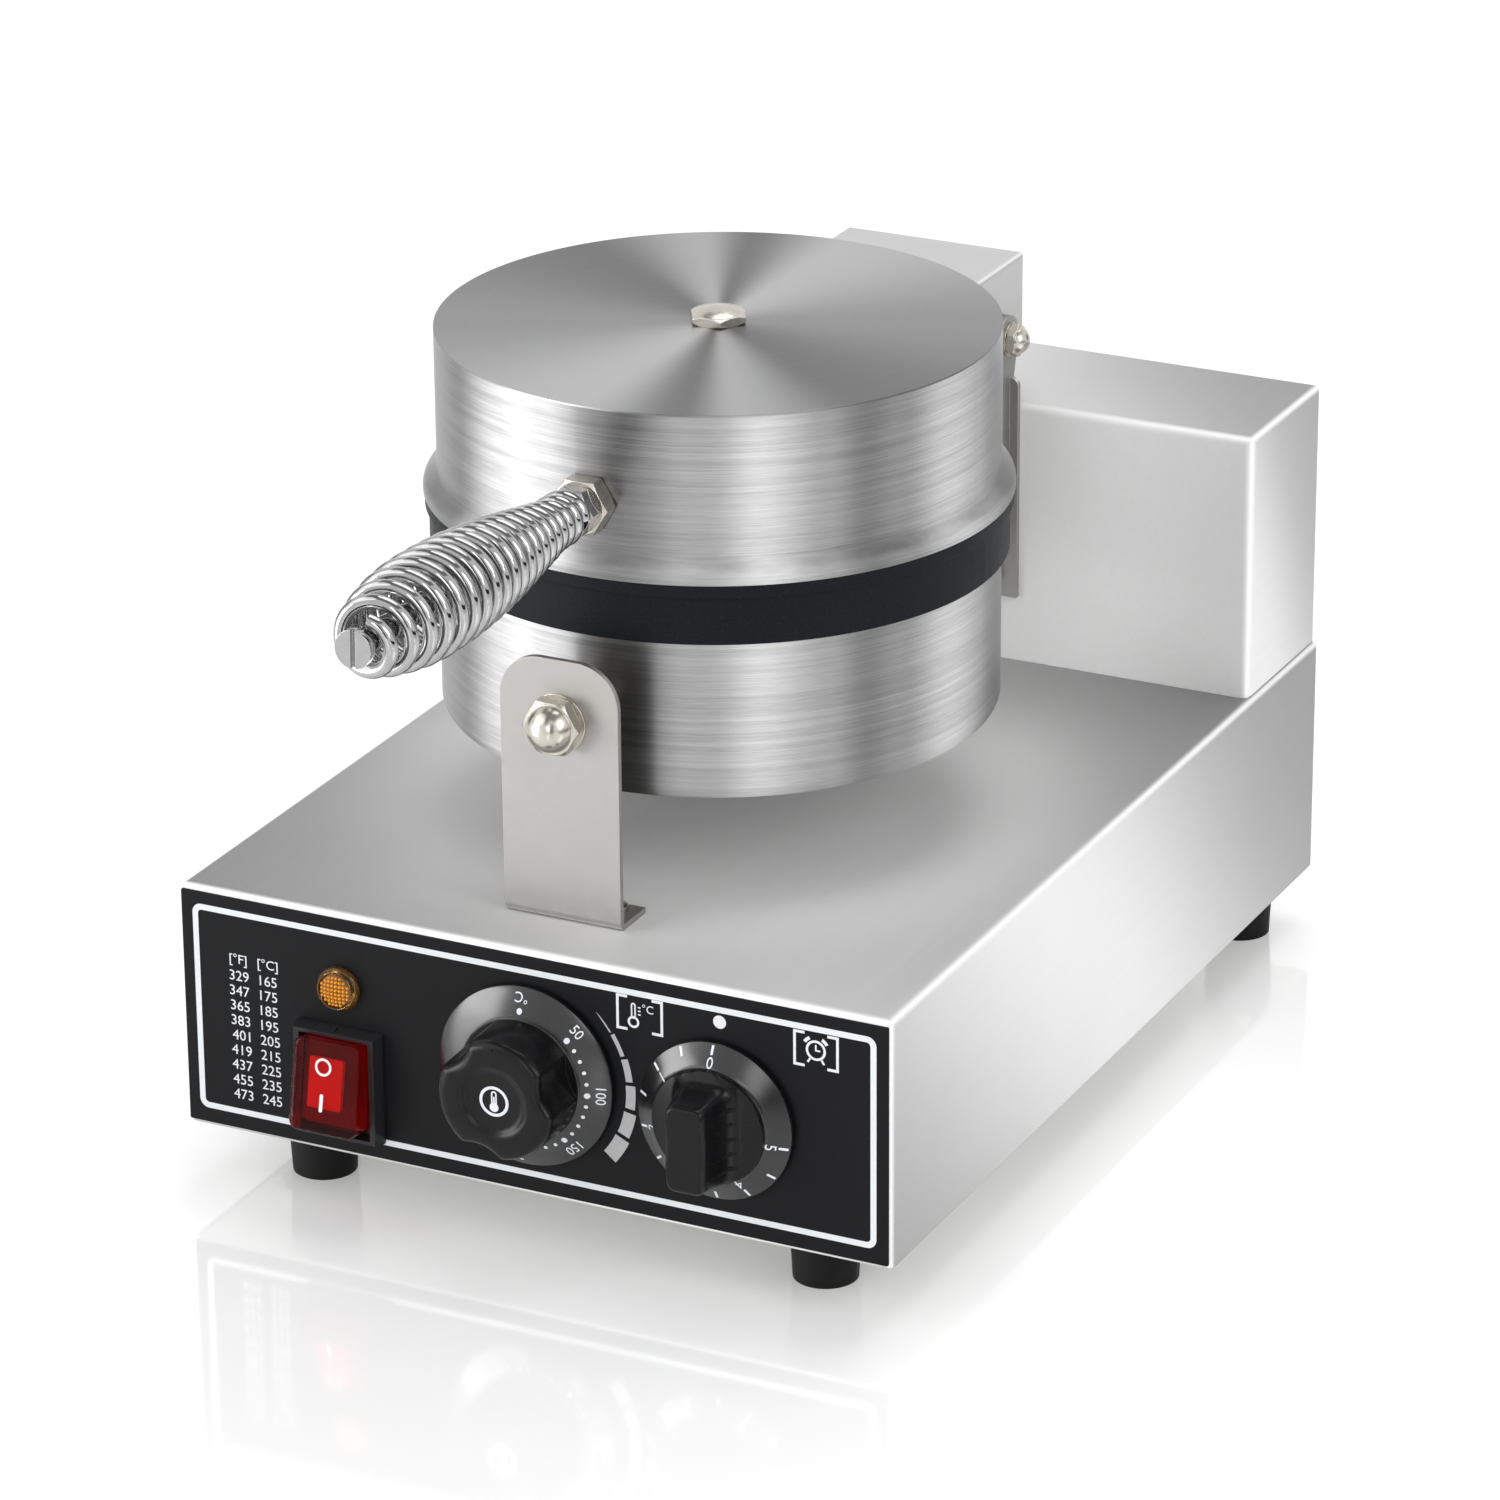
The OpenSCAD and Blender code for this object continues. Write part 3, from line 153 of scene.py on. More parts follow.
class Graph:
    """Adds nodes to a node tree and wires them as they are made."""

    def __init__(self, tree: NodeTree) -> None:
        """Keeps the tree that the nodes go into."""
        self.tree = tree

    def feed(self, socket: Socket, value: object) -> None:
        """Links a socket to another one, or sets its own value.

        Args:
            socket: The input to fill.
            value: An output socket, or a value for the input itself.
        """
        if isinstance(value, Socket):
            self.tree.links.new(value, socket)
        elif socket.type == "RGBA":
            socket.default_value = (*value, 1.0)[:4]
        else:
            socket.default_value = value

    def node(self, kind: str, *values: object, named: dict | None = None, **settings: object) -> Node:
        """Adds a node.

        Args:
            kind: The node's type.
            values: What its inputs get, in order; None leaves one as it is.
            named: What the inputs with these names get.
            settings: The node's own properties.

        Returns:
            The new node.
        """
        made = self.tree.nodes.new(kind)
        for key, value in settings.items():
            setattr(made, key, value)
        for socket, value in zip(made.inputs, values):
            if value is not None:
                self.feed(socket, value)
        self.fill(made, named or {})
        return made

    def fill(self, node: Node, named: dict[str, object]) -> None:
        """Feeds a node's inputs by their names."""
        for name, value in named.items():
            self.feed(node.inputs[name], value)

    def group(self, tree: NodeTree, *values: object) -> Outputs:
        """Returns the outputs of a node group whose inputs get these values, in order."""
        return self.node("ShaderNodeGroup", *values, node_tree=tree).outputs

    def parts(self, value: object) -> Outputs:
        """Returns a vector's X, Y and Z."""
        return self.node("ShaderNodeSeparateXYZ", value).outputs

    def joined(self, *values: object) -> Socket:
        """Returns a vector of three numbers."""
        return self.node("ShaderNodeCombineXYZ", *values).outputs[0]

    def math(self, operation: str, *values: object) -> Socket:
        """Returns the result of a Math node, in a shader or a geometry tree."""
        return self.node("ShaderNodeMath", *values, operation=operation).outputs[0]

    def vector(self, operation: str, *values: object) -> Socket:
        """Returns the vector that a Vector Math node gives."""
        return self.node("ShaderNodeVectorMath", *values, operation=operation).outputs[0]

    def scaled(self, value: object, share: object) -> Socket:
        """Returns a vector times a number."""
        return self.node("ShaderNodeVectorMath", value, operation="SCALE", named={"Scale": share}).outputs[0]

    def dot(self, first: object, second: object) -> Socket:
        """Returns the dot product of two vectors."""
        return self.node("ShaderNodeVectorMath", first, second, operation="DOT_PRODUCT").outputs["Value"]

    def length(self, value: object) -> Socket:
        """Returns the length of a vector."""
        return self.node("ShaderNodeVectorMath", value, operation="LENGTH").outputs["Value"]

    def between(self, value: object, low: float, high: float, start: float = 0.0, end: float = 1.0) -> Socket:
        """Maps a value that runs from start to end onto low to high, and holds it there.

        Args:
            value: The value's socket.
            low: The result at start.
            high: The result at end.
            start: The value that gives low.
            end: The value that gives high.

        Returns:
            The mapped value's socket.
        """
        return self.node("ShaderNodeMapRange", value, start, end, low, high).outputs[0]

    def mix(self, factor: object, first: object, second: object) -> Socket:
        """Returns a colour between two others."""
        made = self.node("ShaderNodeMix", factor, data_type="RGBA")
        self.feed(made.inputs[6], first)
        self.feed(made.inputs[7], second)
        return made.outputs[2]

    def choose(self, mask: object, no: object, yes: object) -> Socket:
        """Returns one of two numbers, by a mask."""
        made = self.node("ShaderNodeMix", mask, data_type="FLOAT")
        self.feed(made.inputs[2], no)
        self.feed(made.inputs[3], yes)
        return made.outputs[0]

    def ramp(self, value: object, stops: Sequence[Point]) -> Socket:
        """Returns a grey that follows stops of place, from 0 to 1, and displayed grey, from 0 to 255."""
        made = self.node("ShaderNodeValToRGB", value)
        elements = made.color_ramp.elements
        made.color_ramp.interpolation = "EASE"
        elements.remove(elements[1])
        for number, (place, grey) in enumerate(stops):
            stop = elements.new(place) if number else elements[0]
            stop.position = place
            stop.color = (*[(grey / 255) ** 2.2] * 3, 1.0)
        return made.outputs[0]

    def round_ramp(self, turn: object, stops: Sequence[Point]) -> Socket:
        """Returns a grey that follows stops of degrees and displayed grey right round an angle in radians."""
        first, grey = stops[0]
        share = self.math("FRACT", self.math("DIVIDE", self.math("SUBTRACT", turn, math.radians(first)), TURN))
        return self.ramp(share, [((deg - first) / 360, tone) for deg, tone in (*stops, (first + 360, grey))])

    def noise(self, where: object, scale: float, detail: float = 2.0, rough: float = 0.5) -> Socket:
        """Returns the value of a noise texture."""
        return self.node("ShaderNodeTexNoise", named={
            "Vector": where, "Scale": scale, "Detail": detail, "Roughness": rough}).outputs["Fac"]


class NodeGroup:
    """A node group with named inputs and outputs, built once and used by name."""

    def __init__(self, name: str, kind: str, inputs: str, outputs: str) -> None:
        """Makes the group's tree and its interface.

        Args:
            name: The group's name.
            kind: The tree's type.
            inputs: "Name: Type" of each input, parted by commas.
            outputs: The same for each output.
        """
        self.tree = bpy.data.node_groups.new(name, kind)
        for way, listed in (("INPUT", inputs), ("OUTPUT", outputs)):
            for key, form in (entry.split(": ") for entry in listed.split(", ")):
                self.tree.interface.new_socket(key, in_out=way, socket_type="NodeSocket" + form)
        self.graph = Graph(self.tree)
        self.given = self.tree.nodes.new("NodeGroupInput").outputs
        self.result = self.tree.nodes.new("NodeGroupOutput").inputs

    def give(self, **values: object) -> None:
        """Feeds the group's outputs by name."""
        for key, value in values.items():
            self.graph.feed(self.result[key], value)

    def dressed(self, geometry: Socket) -> NodeGroup:
        """Gives a geometry out as one mesh in the group's material, and returns the group."""
        real = self.graph.node("GeometryNodeRealizeInstances", geometry)
        made = self.graph.node("GeometryNodeSetMaterial", real.outputs[0], named={"Material": self.given["Material"]})
        self.give(Geometry=made.outputs[0])
        return self


class Effects:
    """The shader groups that several finishes share."""

    def __init__(self, axis_y: float) -> None:
        """Builds the groups.

        Args:
            axis_y: Y of the baking heads' axis in metres, which round brushing turns about.
        """
        self.grain = self._grain(axis_y)
        self.edges = self._edges()
        self.smudge = self._smudge()
        self.speckle = self._speckle()
        self.sheen = self._sheen(axis_y)
        self.upright = self._upright()
        self.satin = self._satin(axis_y)
        self.folds = self._folds()

    @staticmethod
    def _bands() -> list[Point]:
        """Returns the stops of a turned side's painted sheen: its painted light bands, and a painted dark one midway
        between each two.
        """
        stops = []
        for number, (middle, fade) in enumerate(PAINTED_SIDE_BANDS, 1):
            later, early = PAINTED_SIDE_BANDS[number % len(PAINTED_SIDE_BANDS)]
            end = middle + fade
            gap = end + (later - early - end) % 360 / 2
            stops += [(middle - fade, PAINTED_MIDDLE), (middle, PAINTED_LIGHT), (end, PAINTED_MIDDLE), (gap, PAINTED_DARK)]
        return stops

    def _sheen(self, axis_y: float) -> NodeTree:
        """Builds the painted sheen: light and dark sectors painted into a turned sheet's colour in place of its
        reflections.

        Args:
            axis_y: Y of the sheet's axis in metres.

        Returns:
            The group's tree.
        """
        group = NodeGroup(
            "turned_painted_sheen", "ShaderNodeTree", "Vector: Vector, End From: Float", "Tone: Float, End: Float")
        graph, given = group.graph, group.given
        parts = graph.parts(graph.vector("SUBTRACT", given["Vector"], (0.0, axis_y, 0.0)))
        turn = graph.math("ARCTAN2", parts["Y"], parts["X"])
        side = graph.round_ramp(turn, self._bands())
        end = graph.round_ramp(turn, [(deg + half, grey) for half in (0, 180) for deg, grey in PAINTED_END_FANS])
        on_end = graph.math("GREATER_THAN", parts["Z"], given["End From"])
        group.give(Tone=graph.mix(on_end, side, end), End=on_end)
        return group.tree

    @staticmethod
    def _upright() -> NodeTree:
        """Returns the group that lets a gentle flare shade as the upright wall above it does."""
        group = NodeGroup(
            "upright_wall", "ShaderNodeTree",
            "Vector: Vector, Own Normal: Vector, Soft Normal: Vector, End From: Float", "Normal: Vector")
        graph, given = group.graph, group.given
        level = graph.vector("NORMALIZE", graph.vector("MULTIPLY", given["Own Normal"], (1.0, 1.0, 0.15)))
        turned = graph.node("ShaderNodeVectorTransform", level, vector_type="NORMAL", convert_from="OBJECT",
                            convert_to="WORLD").outputs[0]
        rise = graph.math("ABSOLUTE", graph.parts(given["Own Normal"])["Z"])
        height = graph.parts(given["Vector"])["Z"]
        share = graph.math("MULTIPLY", graph.math("LESS_THAN", rise, 0.9),
                           graph.math("LESS_THAN", height, graph.math("SUBTRACT", given["End From"], 0.003)))
        change = graph.vector("SUBTRACT", turned, given["Soft Normal"])
        group.give(Normal=graph.vector("ADD", given["Soft Normal"], graph.scaled(change, share)))
        return group.tree

    @staticmethod
    def _satin(axis_y: float) -> NodeTree:
        """Builds the painted light and shade of the satin sheet's faces.

        Args:
            axis_y: Y of the baking heads' axis in metres; painted light makes the sheet lighter round them.

        Returns:
            The group's tree.
        """
        group = NodeGroup("satin_painted_light", "ShaderNodeTree", "Vector: Vector, Normal: Vector", "Tone: Float")
        graph, given = group.graph, group.given
        in_mm = graph.scaled(given["Vector"], 1 / MM)

        def bell(away: Socket, low: float, high: float) -> Socket:
            """Returns a bell of a distance with a width for each side."""
            width = graph.between(graph.math("GREATER_THAN", away, 0.0), low, high)
            share = graph.math("DIVIDE", away, width)
            return graph.math("EXPONENT", graph.math("MULTIPLY", graph.math("MULTIPLY", share, share), -1.0))

        def tone(wash: Wash) -> Socket:
            """Returns the tone of a wash."""
            away = graph.math("SUBTRACT", graph.dot(in_mm, wash.along), wash.centre)
            return graph.math("MULTIPLY_ADD", bell(away, wash.low_width, wash.high_width), wash.gain, wash.least)

        facing = graph.parts(given["Normal"])
        height = graph.parts(in_mm)["Z"]
        on_housing = graph.math("GREATER_THAN", height, HOUSING_FROM)
        start, reach, lift = HEAD_PAINTED_LIGHT
        flat = graph.vector("MULTIPLY", graph.vector("SUBTRACT", in_mm, (0.0, axis_y / MM, 0.0)), (1.0, 1.0, 0.0))
        near = bell(graph.math("SUBTRACT", graph.length(flat), start), 400.0, reach)
        # Painted light round the heads, against their shade and dark reflection on the base's top.
        lifted = graph.math("MULTIPLY", tone(BASE_TOP), graph.math("MULTIPLY_ADD", near, lift, 1.0))
        top = graph.choose(on_housing, lifted, tone(HOUSING_TOP))
        side = graph.choose(on_housing, tone(BASE_SIDE), tone(HOUSING_SIDE))
        is_side = graph.math("GREATER_THAN", graph.math("ABSOLUTE", facing["X"]), FACING)
        is_top = graph.math("GREATER_THAN", facing["Z"], FACING)
        group.give(Tone=graph.choose(is_top, graph.choose(is_side, tone(UPRIGHT), side), top))
        return group.tree

    @staticmethod
    def _folds() -> NodeTree:
        """Returns the group that finds the bends of folded sheet, which lie askew to the axes, for a painted highlight
        along them.
        """
        group = NodeGroup("painted_fold_highlights", "ShaderNodeTree", "Normal: Vector", "Mask: Float")
        graph = group.graph
        parts = graph.parts(graph.vector("ABSOLUTE", group.given["Normal"]))
        most = graph.math("MAXIMUM", graph.math("MAXIMUM", parts["X"], parts["Y"]), parts["Z"])
        group.give(Mask=graph.between(graph.math("SUBTRACT", 1.0, most), 0.0, 1.0, 0.03, 0.22))
        return group.tree

    @staticmethod
    def _grain(axis_y: float) -> NodeTree:
        """Builds long streaks of brushing, as a tone and a height.

        Args:
            axis_y: Y of the axis of round brushing, in metres.

        Returns:
            The group's tree.
        """
        group = NodeGroup(
            "brushed_grain", "ShaderNodeTree",
            "Vector: Vector, Stretch: Vector, Ring: Float", "Tone: Float, Broad: Float, Height: Float")
        graph, given = group.graph, group.given
        in_mm = graph.scaled(graph.vector("SUBTRACT", given["Vector"], (0.0, axis_y, 0.0)), 1 / MM)
        flat = graph.length(graph.vector("MULTIPLY", in_mm, (1.0, 1.0, 0.0)))
        ring = graph.joined(0.0, 0.0, graph.math("MULTIPLY", flat, given["Ring"]))
        where = graph.vector("ADD", graph.vector("MULTIPLY", in_mm, given["Stretch"]), ring)
        fine = graph.noise(where, 1.0, 4.0, 0.65)
        broad = graph.noise(where, 0.23, 2.0)
        long = graph.noise(graph.vector("MULTIPLY", where, (4.0, 4.0, 1.0)), 1.7, 2.0)
        tone = graph.math("MULTIPLY_ADD", long, 0.4, graph.math("MULTIPLY", fine, 0.6))
        group.give(Tone=graph.between(tone, 0.0, 1.0, 0.32, 0.68), Broad=graph.between(broad, 0.0, 1.0, 0.35, 0.65),
                   Height=fine)
        return group.tree

    @staticmethod
    def _edges() -> NodeTree:
        """Returns the group that softens corners and finds the edges to lighten, as rubbed wear and as a painted
        highlight.
        """
        group = NodeGroup("soft_edges", "ShaderNodeTree", "Radius: Float", "Mask: Float, Normal: Vector")
        graph = group.graph
        soft = graph.node("ShaderNodeBevel", group.given["Radius"], samples=6).outputs[0]
        true = graph.node("ShaderNodeNewGeometry").outputs["Normal"]
        turned = graph.math("MULTIPLY", graph.math("SUBTRACT", 1.0, graph.dot(soft, true)), EDGE_WEAR_AND_HIGHLIGHT_GAIN)
        group.give(Mask=graph.between(turned, 0.0, 1.0), Normal=soft)
        return group.tree

    @staticmethod
    def _smudge() -> NodeTree:
        """Returns the group of soft patches that hands, heat and cleaning leave."""
        group = NodeGroup("smudge", "ShaderNodeTree", "Vector: Vector, Scale: Float", "Mask: Float")
        graph, given = group.graph, group.given
        large = graph.noise(given["Vector"], given["Scale"], 3.0, 0.6)
        small = graph.noise(given["Vector"], graph.math("MULTIPLY", given["Scale"], 7.0), 2.0)
        group.give(Mask=graph.between(graph.math("MULTIPLY_ADD", small, 0.3, large), 0.0, 1.0, 0.5, 0.85))
        return group.tree

    @staticmethod
    def _speckle() -> NodeTree:
        """Returns the group of fine pits and grains of castings and mouldings."""
        group = NodeGroup("speckle", "ShaderNodeTree", "Vector: Vector, Scale: Float", "Mask: Float, Height: Float")
        graph, given = group.graph, group.given
        cells = graph.node("ShaderNodeTexVoronoi", named={"Vector": given["Vector"], "Scale": given["Scale"]})
        grains = graph.noise(given["Vector"], given["Scale"], 2.0, 0.6)
        height = graph.math("MULTIPLY_ADD", cells.outputs["Distance"], 0.5, grains)
        group.give(Mask=graph.between(grains, 0.0, 1.0, 0.56, 0.74), Height=height)
        return group.tree


# ---- Finishes ----


@dataclass(frozen=True)
class Finish:
    """What every finish has: a name, a colour, a roughness and softened edges."""

    name: str
    colour: Colour
    roughness: float
    edge_mm: float = 0.4
    # How much edges lighten: part rubbed wear, part painted highlight
    edge_lift: float = 0.25
    smudge: float = 0.06
    smudge_scale: float = 14.0

    def material(self, effects: Effects) -> bpy.types.Material:
        """Returns the finish's material, made once.

        Args:
            effects: The shared shader groups.

        Returns:
            The material.
        """
        found = bpy.data.materials.get(self.name)
        if found:
            return found
        made = bpy.data.materials.new(self.name)
        made.use_nodes = True
        graph = Graph(made.node_tree)
        shader = made.node_tree.nodes["Principled BSDF"]
        where = graph.node("ShaderNodeTexCoord").outputs["Object"]
        edges = graph.group(effects.edges, self.edge_mm * MM)
        smudge = graph.group(effects.smudge, where, self.smudge_scale)["Mask"]
        self.paint(graph, shader, where, edges, smudge, effects)
        made.diffuse_color = (*self.colour, 1.0)
        return made

    def paint(self, graph: Graph, shader: Node, where: Socket, edges: Outputs,
              smudge: Socket, effects: Effects) -> None:
        """Wires the shader; each kind of finish has its own.

        Args:
            graph: The material's graph.
            shader: The Principled shader.
            where: Object coordinates.
            edges: The soft-edges group's outputs.
            smudge: The mask of soft patches.
            effects: The shared shader groups.
        """
        raise NotImplementedError

    def tinted(self, share: float) -> Colour:
        """Returns the colour times a share, held at white."""
        return tuple(min(1.0, c * share) for c in self.colour)

    def shade(self, graph: Graph, tone: object, spread: float, edges: Outputs,
              smudge: object) -> Socket:
        """Mixes a colour from a tone, soft patches and lightened edges, which are part rubbed wear and part painted
        highlight.

        Args:
            graph: The material's graph.
            tone: The pattern from 0, dark, to 1, light.
            spread: How far the tone moves the colour to each side, as a share.
            edges: The soft-edges group's outputs.
            smudge: The mask of soft patches.

        Returns:
            The colour.
        """
        body = graph.mix(tone, self.tinted(1 - spread), self.tinted(1 + spread))
        soiled = graph.mix(graph.math("MULTIPLY", smudge, self.smudge * 2), body, self.tinted(0.72))
        # Lightened edges: part rubbed wear, part painted highlight.
        lift = graph.math("MULTIPLY", edges["Mask"], self.edge_lift)
        return graph.mix(lift, soiled, self.tinted(1.5))

    def matte(self, graph: Graph, shader: Node, tone: object, smudge: object) -> None:
        """Sets the roughness, which a pattern and the soft patches vary.

        Args:
            graph: The material's graph.
            shader: The Principled shader.
            tone: The pattern from 0 to 1.
            smudge: The mask of soft patches.
        """
        base = graph.between(tone, self.roughness * 0.85, self.roughness * 1.15)
        graph.feed(shader.inputs["Roughness"], graph.math("MULTIPLY_ADD", smudge, self.smudge, base))

    def relief(self, graph: Graph, shader: Node, height: object, depth_mm: float, strength: float,
               normal: Socket) -> None:
        """Bumps the surface by a height over its softened corners.

        Args:
            graph: The material's graph.
            shader: The Principled shader.
            height: The height's socket.
            depth_mm: How deep the relief is.
            strength: Strength of the bump.
            normal: The normal to start from.
        """
        bump = graph.node("ShaderNodeBump", named={
            "Strength": strength, "Distance": depth_mm * MM, "Height": height, "Normal": normal})
        graph.feed(shader.inputs["Normal"], bump.outputs[0])


@dataclass(frozen=True)
class BrushedSheet(Finish):
    """Brushed or satin sheet metal."""

    grain: Grain = Grain.ACROSS
    streaks: float = 0.1
    broad: float = 0.3
    depth_mm: float = 0.01
    anisotropy: float = 0.0
    # Strength of the painted highlight along the bends of folded sheet
    fold_lift: float = 0.0
    metallic: float = 1.0
    # Height where a turned sheet's flat end starts; a sheet with one gets the painted sheen
    end_from_mm: float = 0.0
    # Whether the faces carry painted light and shade
    washed: bool = False

    def paint(self, graph: Graph, shader: Node, where: Socket, edges: Outputs,
              smudge: Socket, effects: Effects) -> None:
        """Wires a metal whose tone, roughness and relief follow its brushing."""
        stretch, ring = self.grain.value
        grain = graph.group(effects.grain, where, stretch, ring)
        tone = graph.math("MULTIPLY_ADD", grain["Broad"], self.broad,
                          graph.math("MULTIPLY", grain["Tone"], 1 - self.broad))
        colour = self.shade(graph, tone, self.streaks, edges, smudge)
        own = graph.node("ShaderNodeTexCoord").outputs["Normal"]
        normal = edges["Normal"]
        if self.end_from_mm:
            end_from = self.end_from_mm * MM
            normal = graph.group(effects.upright, where, own, normal, end_from)["Normal"]
            # Painted sheen: light and dark sectors round the axis multiply the colour, standing in for reflections.
            sheen = graph.group(effects.sheen, where, end_from)
            even = graph.mix(graph.math("MULTIPLY", sheen["End"], 0.85), colour, self.colour)
            colour = graph.vector("MULTIPLY", even, sheen["Tone"])
        if self.washed:
            # Painted light and shade: soft bands per face of the satin sheet multiply its colour.
            colour = graph.vector("MULTIPLY", colour, graph.group(effects.satin, where, own)["Tone"])
        if self.fold_lift:
            # Painted highlight along the bends of folded sheet.
            fold = graph.group(effects.folds, own)["Mask"]
            colour = graph.mix(graph.math("MULTIPLY", fold, self.fold_lift), colour, (0.96, 0.96, 0.96))
        graph.feed(shader.inputs["Base Color"], colour)
        self.matte(graph, shader, tone, smudge)
        self.relief(graph, shader, grain["Height"], self.depth_mm, 0.35, normal)
        graph.fill(shader, {"Metallic": self.metallic, "Anisotropic": self.anisotropy, "Anisotropic Rotation": 0.25})
        if self.anisotropy:
            tangent = graph.node("ShaderNodeTangent", direction_type="RADIAL", axis="Z")
            graph.feed(shader.inputs["Tangent"], tangent.outputs[0])


@dataclass(frozen=True)
class PlatedMetal(Finish):
    """Chrome, nickel or brass with faint wipe marks."""

    grain_scale: float = 260.0
    depth_mm: float = 0.02

    def paint(self, graph: Graph, shader: Node, where: Socket, edges: Outputs,
              smudge: Socket, effects: Effects) -> None:
        """Wires a smooth metal that soft patches dull a little."""
        fine = graph.noise(where, self.grain_scale, 3.0, 0.6)
        tone = graph.between(fine, 0.0, 1.0, 0.35, 0.65)
        graph.feed(shader.inputs["Base Color"], self.shade(graph, tone, 0.05, edges, smudge))
        self.matte(graph, shader, tone, smudge)
        self.relief(graph, shader, fine, self.depth_mm, 0.25, edges["Normal"])
        shader.inputs["Metallic"].default_value = 1.0


@dataclass(frozen=True)
class Moulding(Finish):
    """Plastic, rubber, cast iron's coating, ceramic or wool: a grained surface that isn't metal."""

    grain_scale: float = 900.0
    depth_mm: float = 0.03
    bump: float = 0.3
    spread: float = 0.12
    coat: float = 0.0
    specular: float = 0.5
    coat_behind_mm: float = 0.0

    def paint(self, graph: Graph, shader: Node, where: Socket, edges: Outputs,
              smudge: Socket, effects: Effects) -> None:
        """Wires a grained surface under an optional clear coat."""
        speckle = graph.group(effects.speckle, where, self.grain_scale)
        self.matte(graph, shader, speckle["Mask"], smudge)
        self.relief(graph, shader, speckle["Height"], self.depth_mm, self.bump, edges["Normal"])
        graph.fill(shader, {
            "Base Color": self.shade(graph, speckle["Mask"], self.spread, edges, smudge),
            "Specular IOR Level": self.specular, "Coat Weight": self.coat, "Coat Roughness": 0.2})
        if self.coat_behind_mm:
            depth = graph.parts(where)["Y"]
            graph.fill(shader, {"Coat Weight": graph.math("GREATER_THAN", depth, self.coat_behind_mm * MM)})


@dataclass(frozen=True)
class TintedLens(Finish):
    """Clear tinted plastic with faint moulding waves."""

    clear: float = 0.9
    specular: float = 0.12
    ior: float = 1.49

    def paint(self, graph: Graph, shader: Node, where: Socket, edges: Outputs,
              smudge: Socket, effects: Effects) -> None:
        """Wires a tinted transmission with a light relief."""
        waves = graph.noise(where, 420.0, 2.0)
        self.matte(graph, shader, waves, smudge)
        self.relief(graph, shader, waves, 0.03, 0.2, edges["Normal"])
        graph.fill(shader, {
            "Base Color": self.shade(graph, waves, 0.08, edges, smudge), "Transmission Weight": self.clear,
            "IOR": self.ior, "Specular IOR Level": self.specular})


